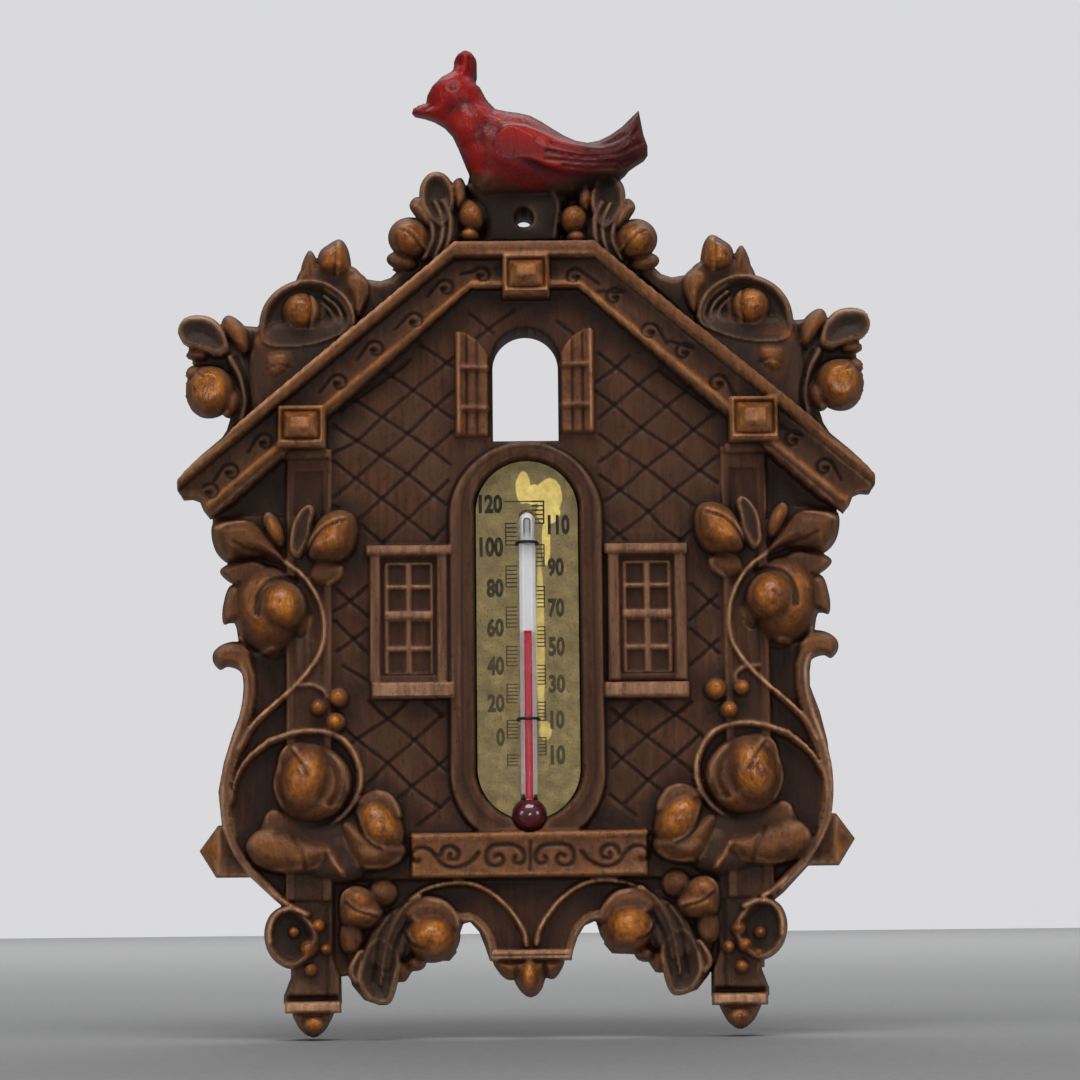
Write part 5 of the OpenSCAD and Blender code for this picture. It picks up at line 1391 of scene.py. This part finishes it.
parts = [scale_ink] + [numeral(*row) for row in NUMERALS]
bpy.ops.object.select_all(action="DESELECT")
for o in parts:
    o.select_set(True)
bpy.context.view_layer.objects.active = scale_ink
bpy.ops.object.join()
dress(scale_ink, ink_material)
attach(scale_ink, "house")


# glass tube, spirit and clips
def turned(name, profile, n=48):
    """A body turned about the tube's axis from (radius, height) pairs, foot first."""
    pts, fs, starts = [], [], []
    for r, h in profile:
        starts.append(len(pts))
        for j in range(n if r > 0 else 1):
            a = 2 * math.pi * j / n
            pts.append((r * math.cos(a) * MM, (r * math.sin(a) - TUBE_DEPTH) * MM, h * MM))
    for row in range(len(profile) - 1):
        low, high = starts[row], starts[row + 1]
        wide_low, wide_high = profile[row][0] > 0, profile[row + 1][0] > 0
        for j in range(n):
            q = (j + 1) % n
            if wide_low and wide_high:
                fs.append((low + j, low + q, high + q, high + j))
            elif wide_high:
                fs.append((low, high + q, high + j))
            elif wide_low:
                fs.append((low + j, low + q, high))
    made = add_mesh(name, pts, fs)
    made.data.shade_smooth()
    return made


BULB_R, STEM_R, TUBE_TOP = 2.9, 1.45, -52.5


def arc(r, centre, a0, a1, n):
    """Radius and height of the points of an arc about the axis; ends on the axis are exactly on it."""
    out = []
    for t in np.radians(np.linspace(a0, a1, n)):
        out.append((r * math.cos(t) if math.cos(t) > 1e-6 else 0.0, centre + r * math.sin(t)))
    return out


joint_angle = math.degrees(math.acos((STEM_R + 0.25) / BULB_R))
outer_profile = arc(BULB_R, BULB_Z, -90, joint_angle, 30)
outer_profile += [(STEM_R + 0.08, outer_profile[-1][1] + 0.3), (STEM_R, outer_profile[-1][1] + 0.8)]
outer_profile += [(STEM_R, -90), (STEM_R, -70)] + arc(STEM_R, TUBE_TOP - STEM_R, 0, 90, 12)
glass = turned("tube_glass_body", outer_profile)
m = Shader("tube glass")
m.put("Base Color", m.mix(m.noise(60, 2), (0.97, 0.985, 0.985), (0.985, 0.99, 0.985)))
m.put("Transmission Weight", 1.0)
m.put("IOR", 1.48)
m.put("Roughness", 0.02)
dress(glass, m.material)
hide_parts("glass_tube")
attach(glass, "house")

# the chamber at the top is an air space inside the glass: its skin faces inward
CHAMBER_R, CHAMBER_TOP, TIP_CENTRE = 0.92, -54.35, -54.75
chamber_profile = [(0.0, -58.9), (0.6, -58.85), (0.85, -58.2), (CHAMBER_R, -57.0)]
chamber_profile += arc(CHAMBER_R, CHAMBER_TOP, 0, 90, 8)
chamber = turned("tube_chamber", chamber_profile, n=32)
chamber.data.flip_normals()
m = Shader("tube chamber")
where = m.position()
above = m.math("MAXIMUM", m.math("SUBTRACT", where["Z"], TIP_CENTRE), 0.0)
across = m.math("POWER", m.math("ADD", m.math("POWER", where["X"], 2.0), m.math("POWER", above, 2.0)), 0.5)
# painted glass light: a white rim, a dark ring and a light grey core at the tip, white below, in place of
# the light bent by the glass
tip_grey = m.mix(m.noise(120, 2), (0.62, 0.62, 0.63), (0.50, 0.50, 0.51))
tip_ring = m.mix(m.ramp(across, 0.28, 0.40), tip_grey, (0.07, 0.07, 0.075))
tip_ring = m.mix(m.ramp(across, 0.52, 0.62), tip_ring, (0.90, 0.90, 0.90))
m.put("Base Color", m.mix(m.ramp(where["Z"], -58.0, -56.4), (0.80, 0.80, 0.80), tip_ring))
m.put("Transmission Weight", 0.1)
m.put("Roughness", 0.3)
dress(chamber, m.material)
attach(chamber, "house")

m = Shader("white enamel")
shaded = m.ramp(m.position()["Z"], -60.5, -58.2, 0.0, 1.0)
enamel = m.mix(m.noise(200, 2), (0.86, 0.86, 0.86), (0.78, 0.78, 0.79))
m.put("Base Color", m.mix(shaded, enamel, (0.66, 0.66, 0.65)))
m.put("Roughness", 0.3)
dress(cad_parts["tube_backing"], m.material)

m = Shader("red spirit")
m.put("Base Color", m.mix(m.noise(300, 2), (0.62, 0.012, 0.035), (0.50, 0.008, 0.025)))
m.put("Roughness", 0.25)
spirit_material = m.material

NECK_Z, SURFACE_Z, THREAD_R = -103.8, -74.12, 0.5
THREAD_FOOT, THREAD_TOP = NECK_Z - 0.6, SURFACE_Z - 0.35
thread_profile = [(0, THREAD_FOOT), (THREAD_R, THREAD_FOOT)]
for t in np.linspace(0, 1, 12):
    thread_profile.append((THREAD_R, NECK_Z + (THREAD_TOP - NECK_Z) * t))
thread_profile.append((0, THREAD_TOP))
column = turned("spirit_thread", thread_profile, n=24)
dress(column, spirit_material)
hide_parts("spirit_column")
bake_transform(column)
surface_profile = [(0, SURFACE_Z - 0.4), (THREAD_R, SURFACE_Z - 0.4), (THREAD_R, SURFACE_Z)]
surface_profile += [(THREAD_R - 0.12, SURFACE_Z - 0.08), (0, SURFACE_Z - 0.16)]
surface = turned("spirit_meniscus", surface_profile, n=24)
dress(surface, spirit_material)
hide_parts("spirit_surface")
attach(surface, "spirit")

m = Shader("bulb spirit")
m.put("Base Color", m.mix(m.noise(250, 2), (0.085, 0.003, 0.010), (0.13, 0.004, 0.014)))
m.put("Roughness", 0.15)
bulb_in = turned("bulb_spirit_drop", arc(2.42, BULB_Z, -90, 90, 24), n=40)
dress(bulb_in, m.material)
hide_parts("bulb_spirit")
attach(bulb_in, "house")

m = Shader("dark wire")
m.put("Base Color", m.mix(m.ramp(m.noise(1500, 3), 0.35, 0.65), (0.020, 0.015, 0.013),
                          (0.055, 0.040, 0.033)))
m.put("Metallic", 0.7)
m.put("Roughness", 0.4)
for name in ("upper_clip", "lower_clip"):
    dress(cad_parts[name], m.material)

# stage
FLOOR_Z, FLOOR_TILT, FLOOR_Y = -144.65 * MM, math.radians(1.39), -0.15
bpy.ops.mesh.primitive_plane_add(size=1)
floor = bpy.context.active_object
floor.name = "stage_floor"
floor.scale = (3.6, 2.9, 1)
floor.rotation_euler = (FLOOR_TILT, 0, 0)
floor.location = (0, FLOOR_Y, FLOOR_Z + FLOOR_Y * math.tan(FLOOR_TILT))
m = Shader("stage floor")
felt = m.mix(m.ramp(m.noise(16000, 3), 0.35, 0.65), (0.22, 0.22, 0.222), (0.40, 0.40, 0.402))
m.put("Base Color", m.mix(m.ramp(m.noise(1800, 4), 0.35, 0.7), felt, (0.27, 0.27, 0.272)))
m.put("Roughness", 0.75)
dress(floor, m.material)

world = bpy.data.worlds.new("studio")
bpy.context.scene.world = world
world.use_nodes = True
tree = world.node_tree
tree.nodes.clear()
out = tree.nodes.new("ShaderNodeOutputWorld")
seen = tree.nodes.new("ShaderNodeBackground")
seen.inputs["Color"].default_value = (0.70, 0.70, 0.715, 1)
fill = tree.nodes.new("ShaderNodeBackground")
fill.inputs["Color"].default_value = (0.90, 0.93, 1.0, 1)
fill.inputs["Strength"].default_value = 0.10
path = tree.nodes.new("ShaderNodeLightPath")
either = tree.nodes.new("ShaderNodeMath")
either.operation = "MAXIMUM"
tree.links.new(path.outputs["Is Camera Ray"], either.inputs[0])
tree.links.new(path.outputs["Is Transmission Ray"], either.inputs[1])
choose = tree.nodes.new("ShaderNodeMixShader")
tree.links.new(either.outputs[0], choose.inputs["Fac"])
tree.links.new(fill.outputs["Background"], choose.inputs[1])
tree.links.new(seen.outputs["Background"], choose.inputs[2])
tree.links.new(choose.outputs["Shader"], out.inputs["Surface"])


def lamp(name, place, aim, size, power, spread=180):
    """A rectangular light that the camera doesn't see."""
    data = bpy.data.lights.new(name, "AREA")
    data.shape = "RECTANGLE"
    data.size, data.size_y = size
    data.energy = power
    data.spread = math.radians(spread)
    o = add(name, data)
    o.location = place
    o.rotation_euler = (Vector(aim) - Vector(place)).to_track_quat("-Z", "Y").to_euler()
    o.visible_camera = False


CENTRE = (0, 0, -0.06)
lamp("over", (0.0, -0.50, 0.75), CENTRE, (0.8, 0.4), 6.0)
lamp("front", (0.08, -1.85, -0.10), CENTRE, (0.32, 0.24), 6.3)
lamp("left", (-0.9, -0.55, 0.10), CENTRE, (0.3, 0.4), 1.3)
lamp("right", (0.9, -0.55, 0.10), CENTRE, (0.3, 0.4), 1.3)
lamp("far", (0.0, 0.95, 0.85), (0.0, 0.95, -0.14), (3.2, 1.0), 17.0, spread=110)

bpy.context.scene.view_settings.view_transform = "Standard"
